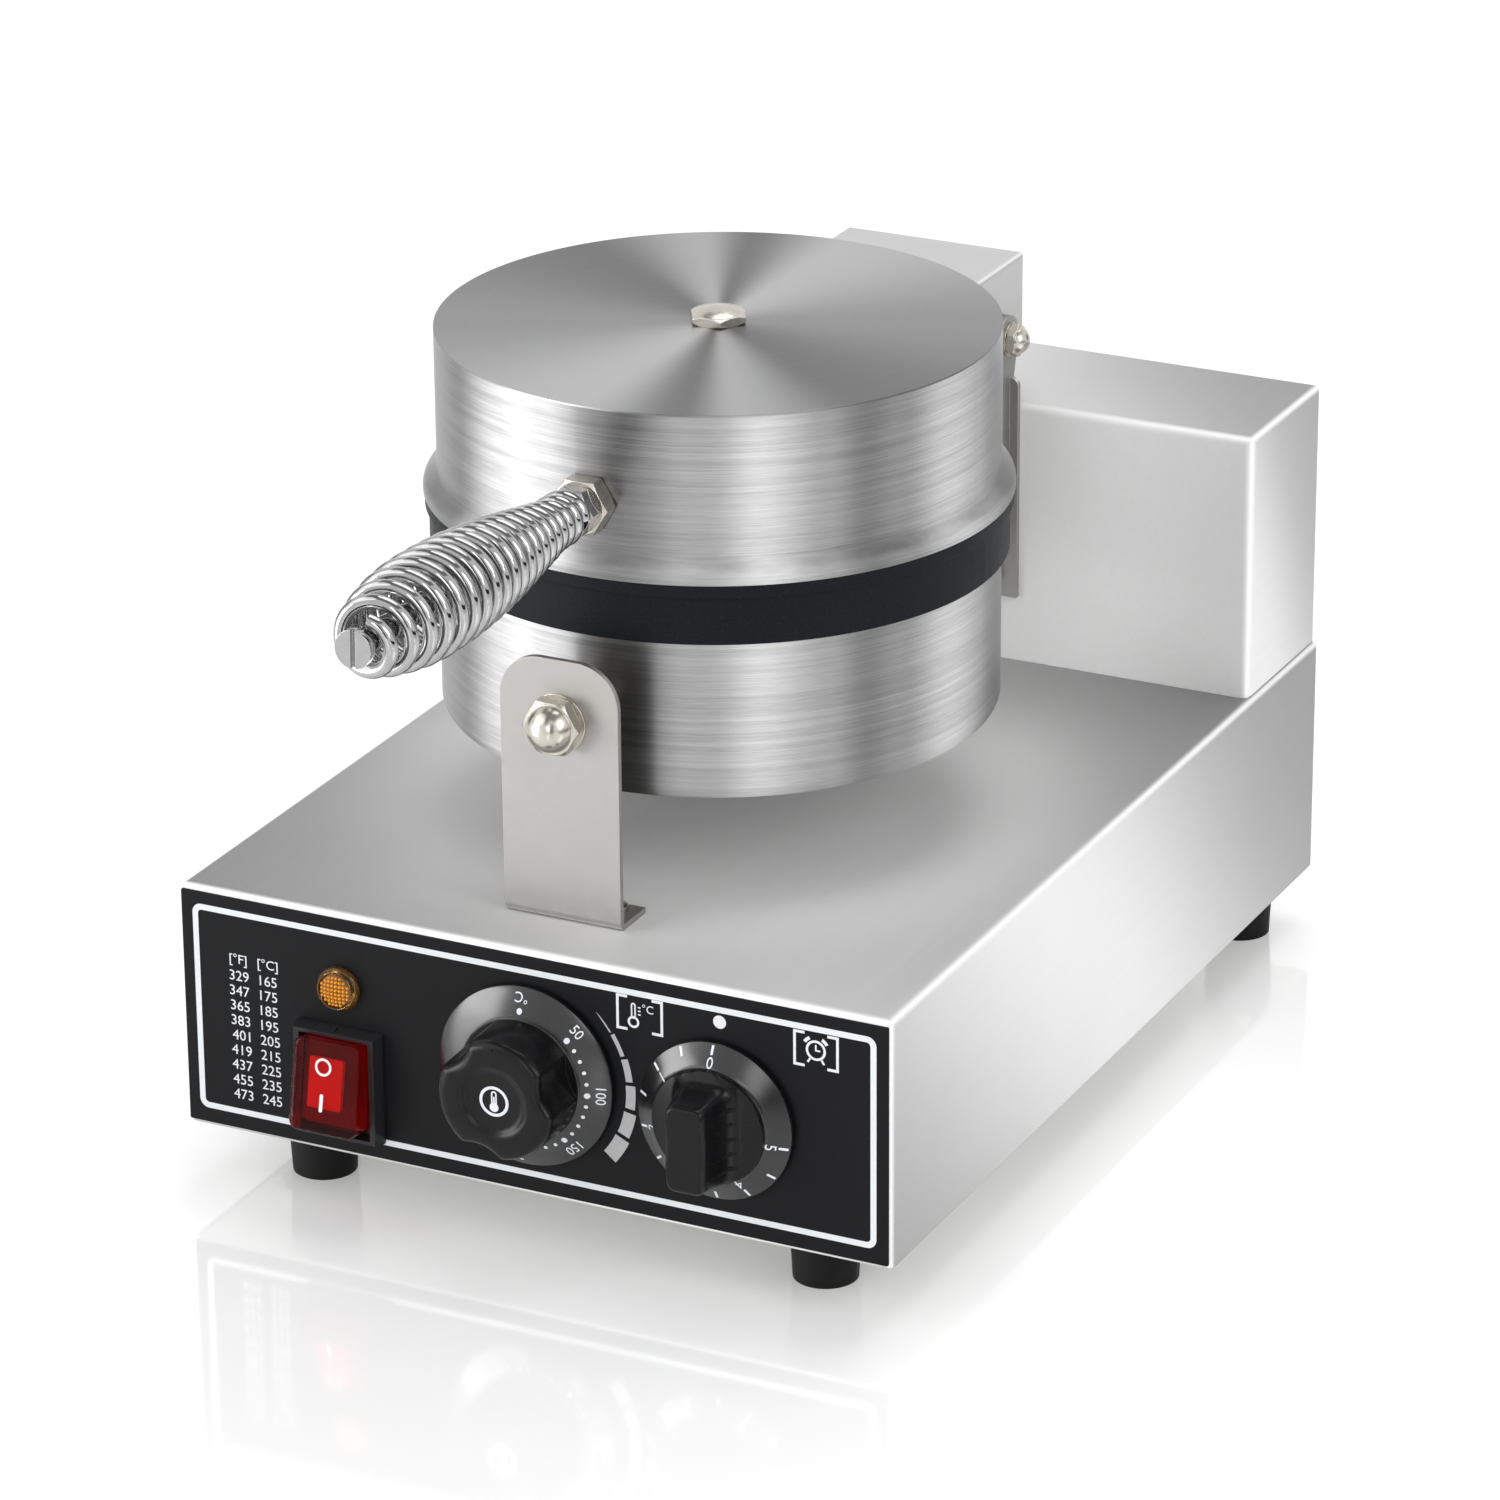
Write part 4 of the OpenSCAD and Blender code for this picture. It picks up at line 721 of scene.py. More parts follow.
class Palette(Enum):
    """Every finish of the cone maker."""

    # The head steel's colour carries the painted sheen, from end_from_mm
    LID_STEEL = BrushedSheet("brushed_head_steel", (0.85, 0.85, 0.86), 0.34, 0.35, 0.3, 0.02, 9.0,
                             Grain.ROUND, 0.36, 0.3, 0.01, 0.6, end_from_mm=267.6)
    # The body steel carries painted highlights on its folds and edges, and painted light and shade on its faces
    BODY_STEEL = BrushedSheet("satin_body_steel", (0.99, 0.99, 0.985), 0.5, 0.5, 0.8, 0.06, 5.0,
                              Grain.ALONG, 0.03, 0.5, 0.004, fold_lift=0.9, metallic=0.15, washed=True)
    BRACKET_STEEL = BrushedSheet("satin_bracket_steel", (0.37, 0.36, 0.345), 0.44, 0.35, 0.6, 0.05, 22.0,
                                 Grain.ALONG, 0.04, 0.5, 0.005, fold_lift=0.5, metallic=0.9)
    COVER_STEEL = BrushedSheet("satin_cover_steel", (0.58, 0.58, 0.58), 0.42, 0.3, 0.6, 0.04, 20.0,
                               Grain.ACROSS, 0.03, 0.5, 0.005, fold_lift=0.7, metallic=0.85)
    NICKEL = PlatedMetal("nickel_plate", (0.56, 0.53, 0.47), 0.2, 0.35, 0.5, 0.06, 60.0)
    CHROME = PlatedMetal("bright_chrome", (0.42, 0.42, 0.42), 0.06, 0.25, 0.3, 0.03, 60.0)
    BRASS = PlatedMetal("brass_blade", (0.72, 0.53, 0.24), 0.28, 0.2, 0.4, 0.08, 80.0)
    CASE = PlatedMetal("zinc_plated_case", (0.62, 0.63, 0.6), 0.34, 0.4, 0.4, 0.1, 40.0)
    HEATER = PlatedMetal("heater_sheath", (0.2, 0.18, 0.16), 0.45, 0.3, 0.4, 0.2, 40.0)
    CASTING = Moulding("nonstick_casting", (0.0085, 0.0105, 0.0145), 0.5, 0.4, 0.06, 0.1, 30.0,
                       1500.0, 0.05, 0.5, 0.5, specular=0.12)
    PANEL = Moulding("printed_panel", (0.0062, 0.0065, 0.008), 0.5, 0.2, 0.05, 0.05, 18.0, 2600.0, 0.015, 0.2,
                     0.2, specular=0.12)
    KNOB = Moulding("knob_plastic", (0.006, 0.006, 0.0068), 0.24, 0.3, 0.04, 0.05, 40.0, 2000.0, 0.004, 0.15, 0.08,
                    specular=0.2, coat_behind_mm=-139.7)
    # Dark red rocker body, its colour painted shade under the clear cap
    RED_WELL = Moulding("red_rocker_well", (0.16, 0.01, 0.01), 0.5, 0.3, 0.05, 0.05, 60.0, 1200.0, 0.02, 0.3, 0.08,
                        specular=0.1)
    FRAME = Moulding("switch_frame_plastic", (0.024, 0.024, 0.027), 0.4, 0.3, 0.05, 0.06, 40.0,
                     2400.0, 0.03, 0.4, 0.3, specular=0.25)
    FITTING = Moulding("black_fitting_plastic", (0.02, 0.02, 0.021), 0.45, 0.3, 0.05, 0.08, 40.0,
                       1800.0, 0.04, 0.4, 0.3)
    RUBBER = Moulding("foot_rubber", (0.0035, 0.0035, 0.0035), 0.62, 0.6, 0.03, 0.1, 40.0, 1100.0, 0.06, 0.5, 0.3,
                      specular=0.2)
    CERAMIC = Moulding("terminal_ceramic", (0.75, 0.72, 0.64), 0.5, 0.5, 0.1, 0.1, 40.0, 900.0, 0.05, 0.3, 0.06)
    WOOL = Moulding("insulation_wool", (0.6, 0.58, 0.5), 0.95, 0.8, 0.0, 0.1, 60.0, 420.0, 0.8, 1.0, 0.25)
    INK = Moulding("panel_ink", (0.86, 0.89, 0.93), 0.45, 0.05, 0.0, 0.05, 40.0, 1500.0, 0.01, 0.2, 0.04)
    GREY_INK = Moulding("panel_grey_ink", (0.5, 0.5, 0.51), 0.45, 0.05, 0.0, 0.05, 40.0, 1500.0, 0.01, 0.2, 0.05)
    RED_CAP = TintedLens("red_rocker_plastic", (0.62, 0.035, 0.03), 0.06, 0.3, 0.1, 0.03, 40.0, 0.985, ior=1.2)
    RED_CORE = Moulding("red_rocker_core", (0.88, 0.07, 0.05), 0.4, 0.3, 0.1, 0.05, 60.0, 1200.0, 0.02, 0.3, 0.08)
    AMBER = TintedLens("amber_lens_plastic", (0.95, 0.5, 0.1), 0.08, 0.2, 0.1, 0.03, 60.0, 0.95)
    AMBER_CORE = Moulding("amber_prisms", (0.96, 0.42, 0.03), 0.16, 0.12, 0.6, 0.05, 60.0, 1200.0, 0.01, 0.2,
                          0.15, 0.6)
    # Dark back of the lamp, its colour painted shade between the prisms
    AMBER_BACK = Moulding("amber_reflector_shaded", (0.2, 0.055, 0.004), 0.4, 0.1, 0.1, 0.05, 60.0, 1200.0, 0.02, 0.3, 0.1)


# ---- Shapes ----


def circle(radius: float, steps: int = 48, at: Point = (0.0, 0.0)) -> Outline:
    """Returns the points of a circle."""
    return [(at[0] + radius * math.cos(TURN * k / steps), at[1] + radius * math.sin(TURN * k / steps))
            for k in range(steps)]


def rounded(width: float, height: float, radius: float, corner_steps: int = 6, at: Point = (0.0, 0.0)) -> Outline:
    """Returns a rectangle with round corners.

    Args:
        width: Size along X.
        height: Size along Y.
        radius: Radius of the corners.
        corner_steps: Steps in each corner.
        at: The rectangle's middle.

    Returns:
        The outline, counterclockwise from the upper right.
    """
    points = []
    for quarter, (sx, sy) in enumerate(((1, 1), (-1, 1), (-1, -1), (1, -1))):
        middle = (at[0] + sx * (width / 2 - radius), at[1] + sy * (height / 2 - radius))
        for k in range(corner_steps + 1):
            angle = (quarter + k / corner_steps) * math.pi / 2
            points.append((middle[0] + radius * math.cos(angle), middle[1] + radius * math.sin(angle)))
    return points


def sector(inner: float, outer: float, start_deg: float, end_deg: float, steps: int = 8) -> Outline:
    """Returns a piece of a ring; the angles run clockwise from the top.

    Args:
        inner: Inner radius.
        outer: Outer radius.
        start_deg: Where the piece starts.
        end_deg: Where it ends.
        steps: Steps along each arc.

    Returns:
        The outline.
    """
    turns = [math.radians(start_deg + (end_deg - start_deg) * k / steps) for k in range(steps + 1)]
    out = [(outer * math.sin(t), outer * math.cos(t)) for t in turns]
    return out + [(inner * math.sin(t), inner * math.cos(t)) for t in reversed(turns)]


class Solid:
    """A mesh drawn in millimetres in a local frame."""

    def __init__(self) -> None:
        """Starts with no faces."""
        self.bm = bmesh.new()

    def loft(self, rings: Sequence[Sequence[tuple[float, float, float]]], capped: bool = True) -> "Solid":
        """Joins closed rings of as many points each.

        Args:
            rings: The rings, in order.
            capped: Whether the first and the last ring are closed with a face.

        Returns:
            This solid.
        """
        rows = [[self.bm.verts.new(p) for p in ring] for ring in rings]
        for low, high in zip(rows, rows[1:]):
            for k in range(len(low)):
                self.bm.faces.new((low[k - 1], low[k], high[k], high[k - 1]))
        if capped:
            self.bm.faces.new(list(reversed(rows[0])))
            self.bm.faces.new(rows[-1])
        return self

    def prism(self, outline: Outline, low: float, high: float) -> "Solid":
        """Adds an upright prism between two heights."""
        return self.loft([[(x, y, z) for x, y in outline] for z in (low, high)])

    def tube(self, outer: Outline, inner: Outline, low: float, high: float) -> "Solid":
        """Adds a closed wall between two outlines of as many points, from one height to another."""
        rings = [[(x, y, z) for x, y in line]
                 for line, z in ((outer, low), (outer, high), (inner, high), (inner, low), (outer, low))]
        return self.loft(rings, capped=False)

    def polar(self, levels: Sequence[tuple[float, float | Callable[[float], float]]], steps: int = 128,
              capped: bool = True) -> "Solid":
        """Adds a loft of rings about Z.

        Args:
            levels: Height and radius of each ring; a radius may depend on the angle.
            steps: Points in each ring.
            capped: Whether both ends are closed.

        Returns:
            This solid.
        """
        rings = []
        for z, radius in levels:
            turns = [TURN * k / steps for k in range(steps)]
            sizes = [radius(t) if callable(radius) else radius for t in turns]
            rings.append([(r * math.cos(t), r * math.sin(t), z) for r, t in zip(sizes, turns)])
        return self.loft(rings, capped)

    def stroke(self, start: Point, end: Point, width: float, low: float, high: float) -> "Solid":
        """Adds a straight bar of a width from one point to another."""
        along = Vector(end) - Vector(start)
        side = Vector((-along.y, along.x)).normalized() * width / 2
        corners = [Vector(start) - side, Vector(end) - side, Vector(end) + side, Vector(start) + side]
        return self.prism([tuple(c) for c in corners], low, high)

    def text(self, words: str, at: Point, height: float, turn_deg: float, low: float, high: float) -> "Solid":
        """Adds plain numbers or signs.

        Args:
            words: What to write.
            at: The middle of the words.
            height: Height of a figure.
            turn_deg: Clockwise turn.
            low: Height of the underside.
            high: Height of the face.

        Returns:
            This solid.
        """
        curve = bpy.data.curves.new("figures", "FONT")
        curve.body, curve.size, curve.extrude, curve.resolution_u = words, 1.0, 0.5, 3
        holder = bpy.data.objects.new("figures", curve)
        bpy.context.scene.collection.objects.link(holder)
        ready = holder.evaluated_get(bpy.context.evaluated_depsgraph_get())
        mesh = bpy.data.meshes.new_from_object(ready)
        figure_height = 0.7
        xs, ys = [v.co.x for v in mesh.vertices], [v.co.y for v in mesh.vertices]
        middle = Vector(((min(xs) + max(xs)) / 2, (min(ys) + max(ys)) / 2, 0.0))
        size = height / figure_height
        shape = Matrix.Diagonal((size, size, high - low, 1.0)) @ Matrix.Translation(-middle)
        place = Matrix.Translation((at[0], at[1], (low + high) / 2)) @ Matrix.Rotation(-math.radians(turn_deg), 4, "Z")
        mesh.transform(place @ shape)
        self.bm.from_mesh(mesh)
        bpy.data.objects.remove(holder)
        bpy.data.meshes.remove(mesh)
        return self

    def drape(self, height: Callable[[float, float], float]) -> "Solid":
        """Lifts every point by a height that depends on where it is."""
        for vert in self.bm.verts:
            vert.co.z += height(vert.co.x, vert.co.y)
        return self

    def mesh(self, name: str, sharp_deg: float = 32.0) -> Mesh:
        """Makes the mesh, still in millimetres, smooth but for its sharp edges.

        Args:
            name: The mesh's name.
            sharp_deg: The bend from which an edge stays sharp.

        Returns:
            The mesh.
        """
        bmesh.ops.remove_doubles(self.bm, verts=self.bm.verts, dist=1e-4)
        bmesh.ops.recalc_face_normals(self.bm, faces=self.bm.faces)
        for face in self.bm.faces:
            face.smooth = True
        for edge in self.bm.edges:
            edge.smooth = edge.is_manifold and edge.calc_face_angle(0.0) < math.radians(sharp_deg)
        made = bpy.data.meshes.new(name)
        self.bm.to_mesh(made)
        self.bm.free()
        return made


# ---- Pieces ----


@dataclass
class Row:
    """How a piece is repeated: along a line, round an axis, or both."""

    count: int
    step: tuple[float, float, float] = (0.0, 0.0, 0.0)
    radius: float = 0.0
    first_deg: float = 0.0
    turn_deg: float = 0.0
    large_every: int = 0
    large_scale: float = 1.0
    level: float = 0.0
    slope: float = 0.0


class Workshop:
    """Makes the pieces, dresses them and fixes them to their bodies."""

    def __init__(self, frame: dict) -> None:
        """Reads the places that the pieces share.
        """
        self.frame = frame
        low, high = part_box("lower_shell")
        self.axis_y = (low.y + high.y) / 2
        self.face_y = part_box("control_panel")[0].y
        self.effects = Effects(self.axis_y)
        self.row_tree = self._row_tree()

    def finish(self, entry: Palette) -> bpy.types.Material:
        """Returns the material of a finish."""
        return entry.value.material(self.effects)

    def middle(self, node: str) -> Vector:
        """Returns the middle of a node's box."""
        low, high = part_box(node)
        return (low + high) / 2

    def on_panel(self, node: str, tilt_deg: float = 0.0) -> Matrix:
        """Returns the local frame on the panel's face, in front of a node.

        Args:
            node: The node whose middle gives the place.
            tilt_deg: Backward tilt of the frame's upper side.

        Returns:
            The frame's matrix.
        """
        middle = self.middle(node)
        place = Matrix.Translation((middle.x, self.face_y, middle.z))
        return place @ Matrix.Rotation(math.radians(90 - tilt_deg), 4, "X")

    def dress(self, entry: Palette, *nodes: str) -> None:
        """Gives nodes of the construction their finish."""
        made = self.finish(entry)
        for name in nodes:
            for slot in self.frame["nodes"][name].material_slots:
                slot.material = made
            LOG.info("%s: %s", name, made.name)

    def piece(self, name: str, shape: Solid | Mesh, place: Matrix, entry: Palette, body: Body,
              replaces: Sequence[str] = ()) -> bpy.types.Object:
        """Turns a shape in millimetres into a piece of the object.

        Args:
            name: The piece's name.
            shape: Its solid or mesh, in a local frame.
            place: The local frame.
            entry: Its finish.
            body: The body that it rides on.
            replaces: The nodes that it stands for.

        Returns:
            The piece.
        """
        mesh = shape.mesh(name) if isinstance(shape, Solid) else shape
        mesh.transform(place @ Matrix.Scale(MM, 4))
        mesh.materials.clear()
        mesh.materials.append(self.finish(entry))
        made = bpy.data.objects.new(name, mesh)
        bpy.context.scene.collection.objects.link(made)
        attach(made, body.value)
        if replaces:
            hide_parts(*replaces)
        LOG.info("%s: %d faces on %s", name, len(mesh.polygons), body.value)
        return made

    @staticmethod
    def _row_tree() -> NodeGroup:
        """Returns the geometry group that repeats a mesh by a Row."""
        group = NodeGroup(
            "repeat_in_a_row", "GeometryNodeTree",
            "Geometry: Geometry, Count: Int, Step: Vector, Radius: Float, First Turn: Float, Turn Step: Float, "
            "Large Every: Int, Large Scale: Float, Level: Float, Slope: Float, Material: Material",
            "Geometry: Geometry")
        graph, given = group.graph, group.given
        index = graph.node("GeometryNodeInputIndex").outputs[0]
        turn = graph.math("MULTIPLY_ADD", index, given["Turn Step"], given["First Turn"])
        across = graph.math("MULTIPLY", graph.math("SINE", turn), given["Radius"])
        upward = graph.math("MULTIPLY", graph.math("COSINE", turn), given["Radius"])
        spot = graph.joined(across, upward, 0.0)
        line = graph.scaled(given["Step"], index)
        points = graph.node("GeometryNodePoints", given["Count"], graph.vector("ADD", spot, line))
        rest = graph.math("MODULO", index, graph.math("MAXIMUM", given["Large Every"], 1))
        wanted = graph.math("MULTIPLY", graph.math("COMPARE", rest, 0.0, 0.1),
                            graph.math("MINIMUM", given["Large Every"], 1))
        size = graph.math("MULTIPLY_ADD", wanted, graph.math("SUBTRACT", given["Large Scale"], 1.0), 1.0)
        scale = graph.joined(size, size, 1.0)
        facing = graph.joined(0.0, 0.0, graph.math("MULTIPLY", turn, -1.0))
        copies = graph.node("GeometryNodeInstanceOnPoints", points.outputs[0], named={
            "Instance": given["Geometry"], "Rotation": facing, "Scale": scale})
        real = graph.node("GeometryNodeRealizeInstances", copies.outputs[0])
        where = graph.vector("MULTIPLY", graph.node("GeometryNodeInputPosition").outputs[0], (1.0, 1.0, 0.0))
        drop = graph.math("MULTIPLY", graph.length(where), given["Slope"])
        lift = graph.joined(0.0, 0.0, graph.math("SUBTRACT", given["Level"], drop))
        moved = graph.node("GeometryNodeSetPosition", real.outputs[0], named={"Offset": lift})
        return group.dressed(moved.outputs[0])

    def grown(self, name: str, seed: Mesh, group: NodeGroup, values: dict[str, object]) -> Mesh:
        """Runs a geometry group on a mesh.

        Args:
            name: The result's name.
            seed: The mesh that the group starts from.
            group: The group.
            values: The group's inputs by name.

        Returns:
            The result as a plain mesh.
        """
        holder = bpy.data.objects.new(name, seed)
        bpy.context.scene.collection.objects.link(holder)
        modifier = holder.modifiers.new("grow", "NODES")
        modifier.node_group = group.tree
        sockets = {s.name: s.identifier for s in group.tree.interface.items_tree if s.in_out == "INPUT"}
        for key, value in values.items():
            modifier[sockets[key]] = value
        ready = holder.evaluated_get(bpy.context.evaluated_depsgraph_get())
        made = bpy.data.meshes.new_from_object(ready)
        made.name = name
        holder.modifiers.remove(modifier)
        bpy.data.objects.remove(holder)
        return made

    def repeated(self, name: str, seed: Mesh, row: Row, entry: Palette) -> Mesh:
        """Repeats a mesh in a row.

        Args:
            name: The result's name.
            seed: The mesh to repeat, drawn at the top of its circle.
            row: How it is repeated.
            entry: The finish of the copies.

        Returns:
            The copies as one mesh.
        """
        return self.grown(name, seed, self.row_tree, {
            "Count": row.count, "Step": row.step, "Radius": row.radius, "First Turn": math.radians(row.first_deg),
            "Turn Step": math.radians(row.turn_deg), "Large Every": row.large_every,
            "Large Scale": row.large_scale, "Level": row.level, "Slope": row.slope, "Material": self.finish(entry)})


@dataclass
class CoilHandle:
    """The sprung grip of the lid's handle: one wire wound to a swelling form over a rod."""

    length: float = 132.0
    coils: int = 20
    wire_d: float = 4.6
    start_r: float = 7.0
    greatest_r: float = 17.0
    end_r: float = 10.2
    swell: float = 0.7
    tilt_deg: float = 1.5
    nut_h: float = 7.0
    ferrule_h: float = 6.0
    rod_d: float = 8.0
    opening: float = 0.28
    steps_per_coil: int = 64

    def build(self, shop: Workshop) -> None:
        """Winds the grip and dresses what it sits on."""
        wire_tree = self._wire_tree()
        seed = bpy.data.meshes.new("grip_seed")
        wire = shop.grown("coil_grip", seed, wire_tree, {
            "Length": self.length - self.wire_d, "Coils": float(self.coils - 0.8),
            "Steps": self.coils * self.steps_per_coil, "Wire Radius": self.wire_d / 2, "Start Radius": self.start_r,
            "Greatest Radius": self.greatest_r, "End Radius": self.end_r, "Swell": self.swell,
            "Least Radius": self.rod_d / 2 + self.wire_d / 2 + 0.05, "Opening": self.opening,
            "Material": shop.finish(Palette.CHROME)})
        outward = Matrix.Rotation(math.radians(90 - self.tilt_deg), 4, "X")
        nut_middle = Matrix.Translation(shop.middle("handle_nut")) @ outward
        first_coil = (self.nut_h / 2 + self.ferrule_h + self.wire_d / 2) * MM
        place = nut_middle @ Matrix.Translation((0, 0, first_coil))
        shop.piece("coil_grip", wire, place, Palette.CHROME, Body.LID, ["handle_spring"])
        shop.dress(Palette.CHROME, "handle_ferrule", "handle_rod")
        shop.dress(Palette.NICKEL, "handle_nut", "handle_inner_nut")

    @staticmethod
    def _wire_tree() -> NodeGroup:
        """Returns the geometry group that winds the wire along Z."""
        group = NodeGroup(
            "wound_wire", "GeometryNodeTree",
            "Geometry: Geometry, Length: Float, Coils: Float, Steps: Int, Wire Radius: Float, Start Radius: Float, "
            "Greatest Radius: Float, End Radius: Float, Swell: Float, Least Radius: Float, Opening: Float, "
            "Material: Material", "Geometry: Geometry")
        graph, given = group.graph, group.given
        line = graph.node("GeometryNodeCurvePrimitiveLine", (0.0, 0.0, 0.0), (0.0, 0.0, 1.0))
        steps = graph.node("GeometryNodeResampleCurve", line.outputs[0], named={"Count": given["Steps"]})
        share = graph.node("GeometryNodeSplineParameter").outputs["Factor"]
        closer = graph.math("MULTIPLY", graph.math("SUBTRACT", 1.0, share), given["Opening"])
        eased = graph.math("MULTIPLY", share, graph.math("SUBTRACT", 1.0, closer))
        quarter = math.pi / 2
        rise = graph.math("SINE", graph.math("MULTIPLY", graph.math("DIVIDE", eased, given["Swell"]), quarter))
        rising = graph.math("MULTIPLY_ADD", graph.math("POWER", graph.math("MAXIMUM", rise, 0.0), 1.15),
                            graph.math("SUBTRACT", given["Greatest Radius"], given["Start Radius"]),
                            given["Start Radius"])
        left = graph.math("DIVIDE", graph.math("SUBTRACT", eased, given["Swell"]),
                          graph.math("SUBTRACT", 1.0, given["Swell"]))
        fall = graph.math("MAXIMUM", graph.math("COSINE", graph.math("MULTIPLY", left, quarter)), 0.0)
        falling = graph.math("MULTIPLY_ADD", graph.math("POWER", fall, 0.8),
                             graph.math("SUBTRACT", given["Greatest Radius"], given["End Radius"]),
                             given["End Radius"])
        past = graph.math("GREATER_THAN", eased, given["Swell"])
        form = graph.choose(past, rising, falling)
        radius = graph.math("MAXIMUM", graph.math("SUBTRACT", form, given["Wire Radius"]), given["Least Radius"])
        turn = graph.math("MULTIPLY", graph.math("MULTIPLY", share, given["Coils"]), TURN)
        spot = graph.node("ShaderNodeCombineXYZ", graph.math("MULTIPLY", graph.math("COSINE", turn), radius),
                          graph.math("MULTIPLY", graph.math("SINE", turn), radius),
                          graph.math("MULTIPLY", eased, given["Length"]))
        wound = graph.node("GeometryNodeSetPosition", steps.outputs[0], named={"Position": spot.outputs[0]})
        section = graph.node("GeometryNodeCurvePrimitiveCircle", 16, named={"Radius": given["Wire Radius"]})
        swept = graph.node("GeometryNodeCurveToMesh", wound.outputs[0], section.outputs[0],
                           named={"Fill Caps": True})
        smooth = graph.node("GeometryNodeSetShadeSmooth", swept.outputs[0])
        return group.dressed(smooth.outputs[0])


@dataclass
class RotaryKnob:
    """What both knobs share: a conical skirt with printed marks round a grip."""

    skirt_r: float
    grip_r: float
    gap: float = 0.6
    rim_z: float = 2.0
    edge_z: float = 2.6
    skirt_top: float = 6.2
    top_z: float = 24.0
    hub_r: float = 6.8
    hub_z: float = 4.0
    print_t: float = 0.07

    def slope(self) -> float:
        """Returns how far the skirt falls for each millimetre outwards."""
        return (self.skirt_top - self.edge_z) / (self.skirt_r - 0.6 - self.grip_r)

    def skirt_height(self, x: float, y: float) -> float:
        """Returns the height of the skirt's cone at a point."""
        return self.edge_z + (self.skirt_r - 0.6 - math.hypot(x, y)) * self.slope()

    def skirt(self) -> list[Point]:
        """Returns the levels of the skirt, from the hub's hollow round the rim to the grip."""
        out = self.skirt_r
        return [(self.hub_z, 0.05), (self.hub_z, self.hub_r), (self.gap, self.hub_r), (self.gap, out - 0.5),
                (self.gap + 0.15, out - 0.12), (self.gap + 0.5, out), (self.rim_z, out),
                (self.rim_z + 0.35, out - 0.15), (self.edge_z, out - 0.6), (self.skirt_height(out - 3, 0), out - 3),
                (self.skirt_height(self.grip_r + 1.2, 0), self.grip_r + 1.2)]

    def marks(self, shop: Workshop, name: str, seed: Mesh, row: Row) -> Mesh:
        """Repeats a mark round the skirt, on its cone."""
        row.slope = self.slope()
        row.level = self.skirt_height(0.0, 0.0)
        return shop.repeated(name, seed, row, Palette.INK)


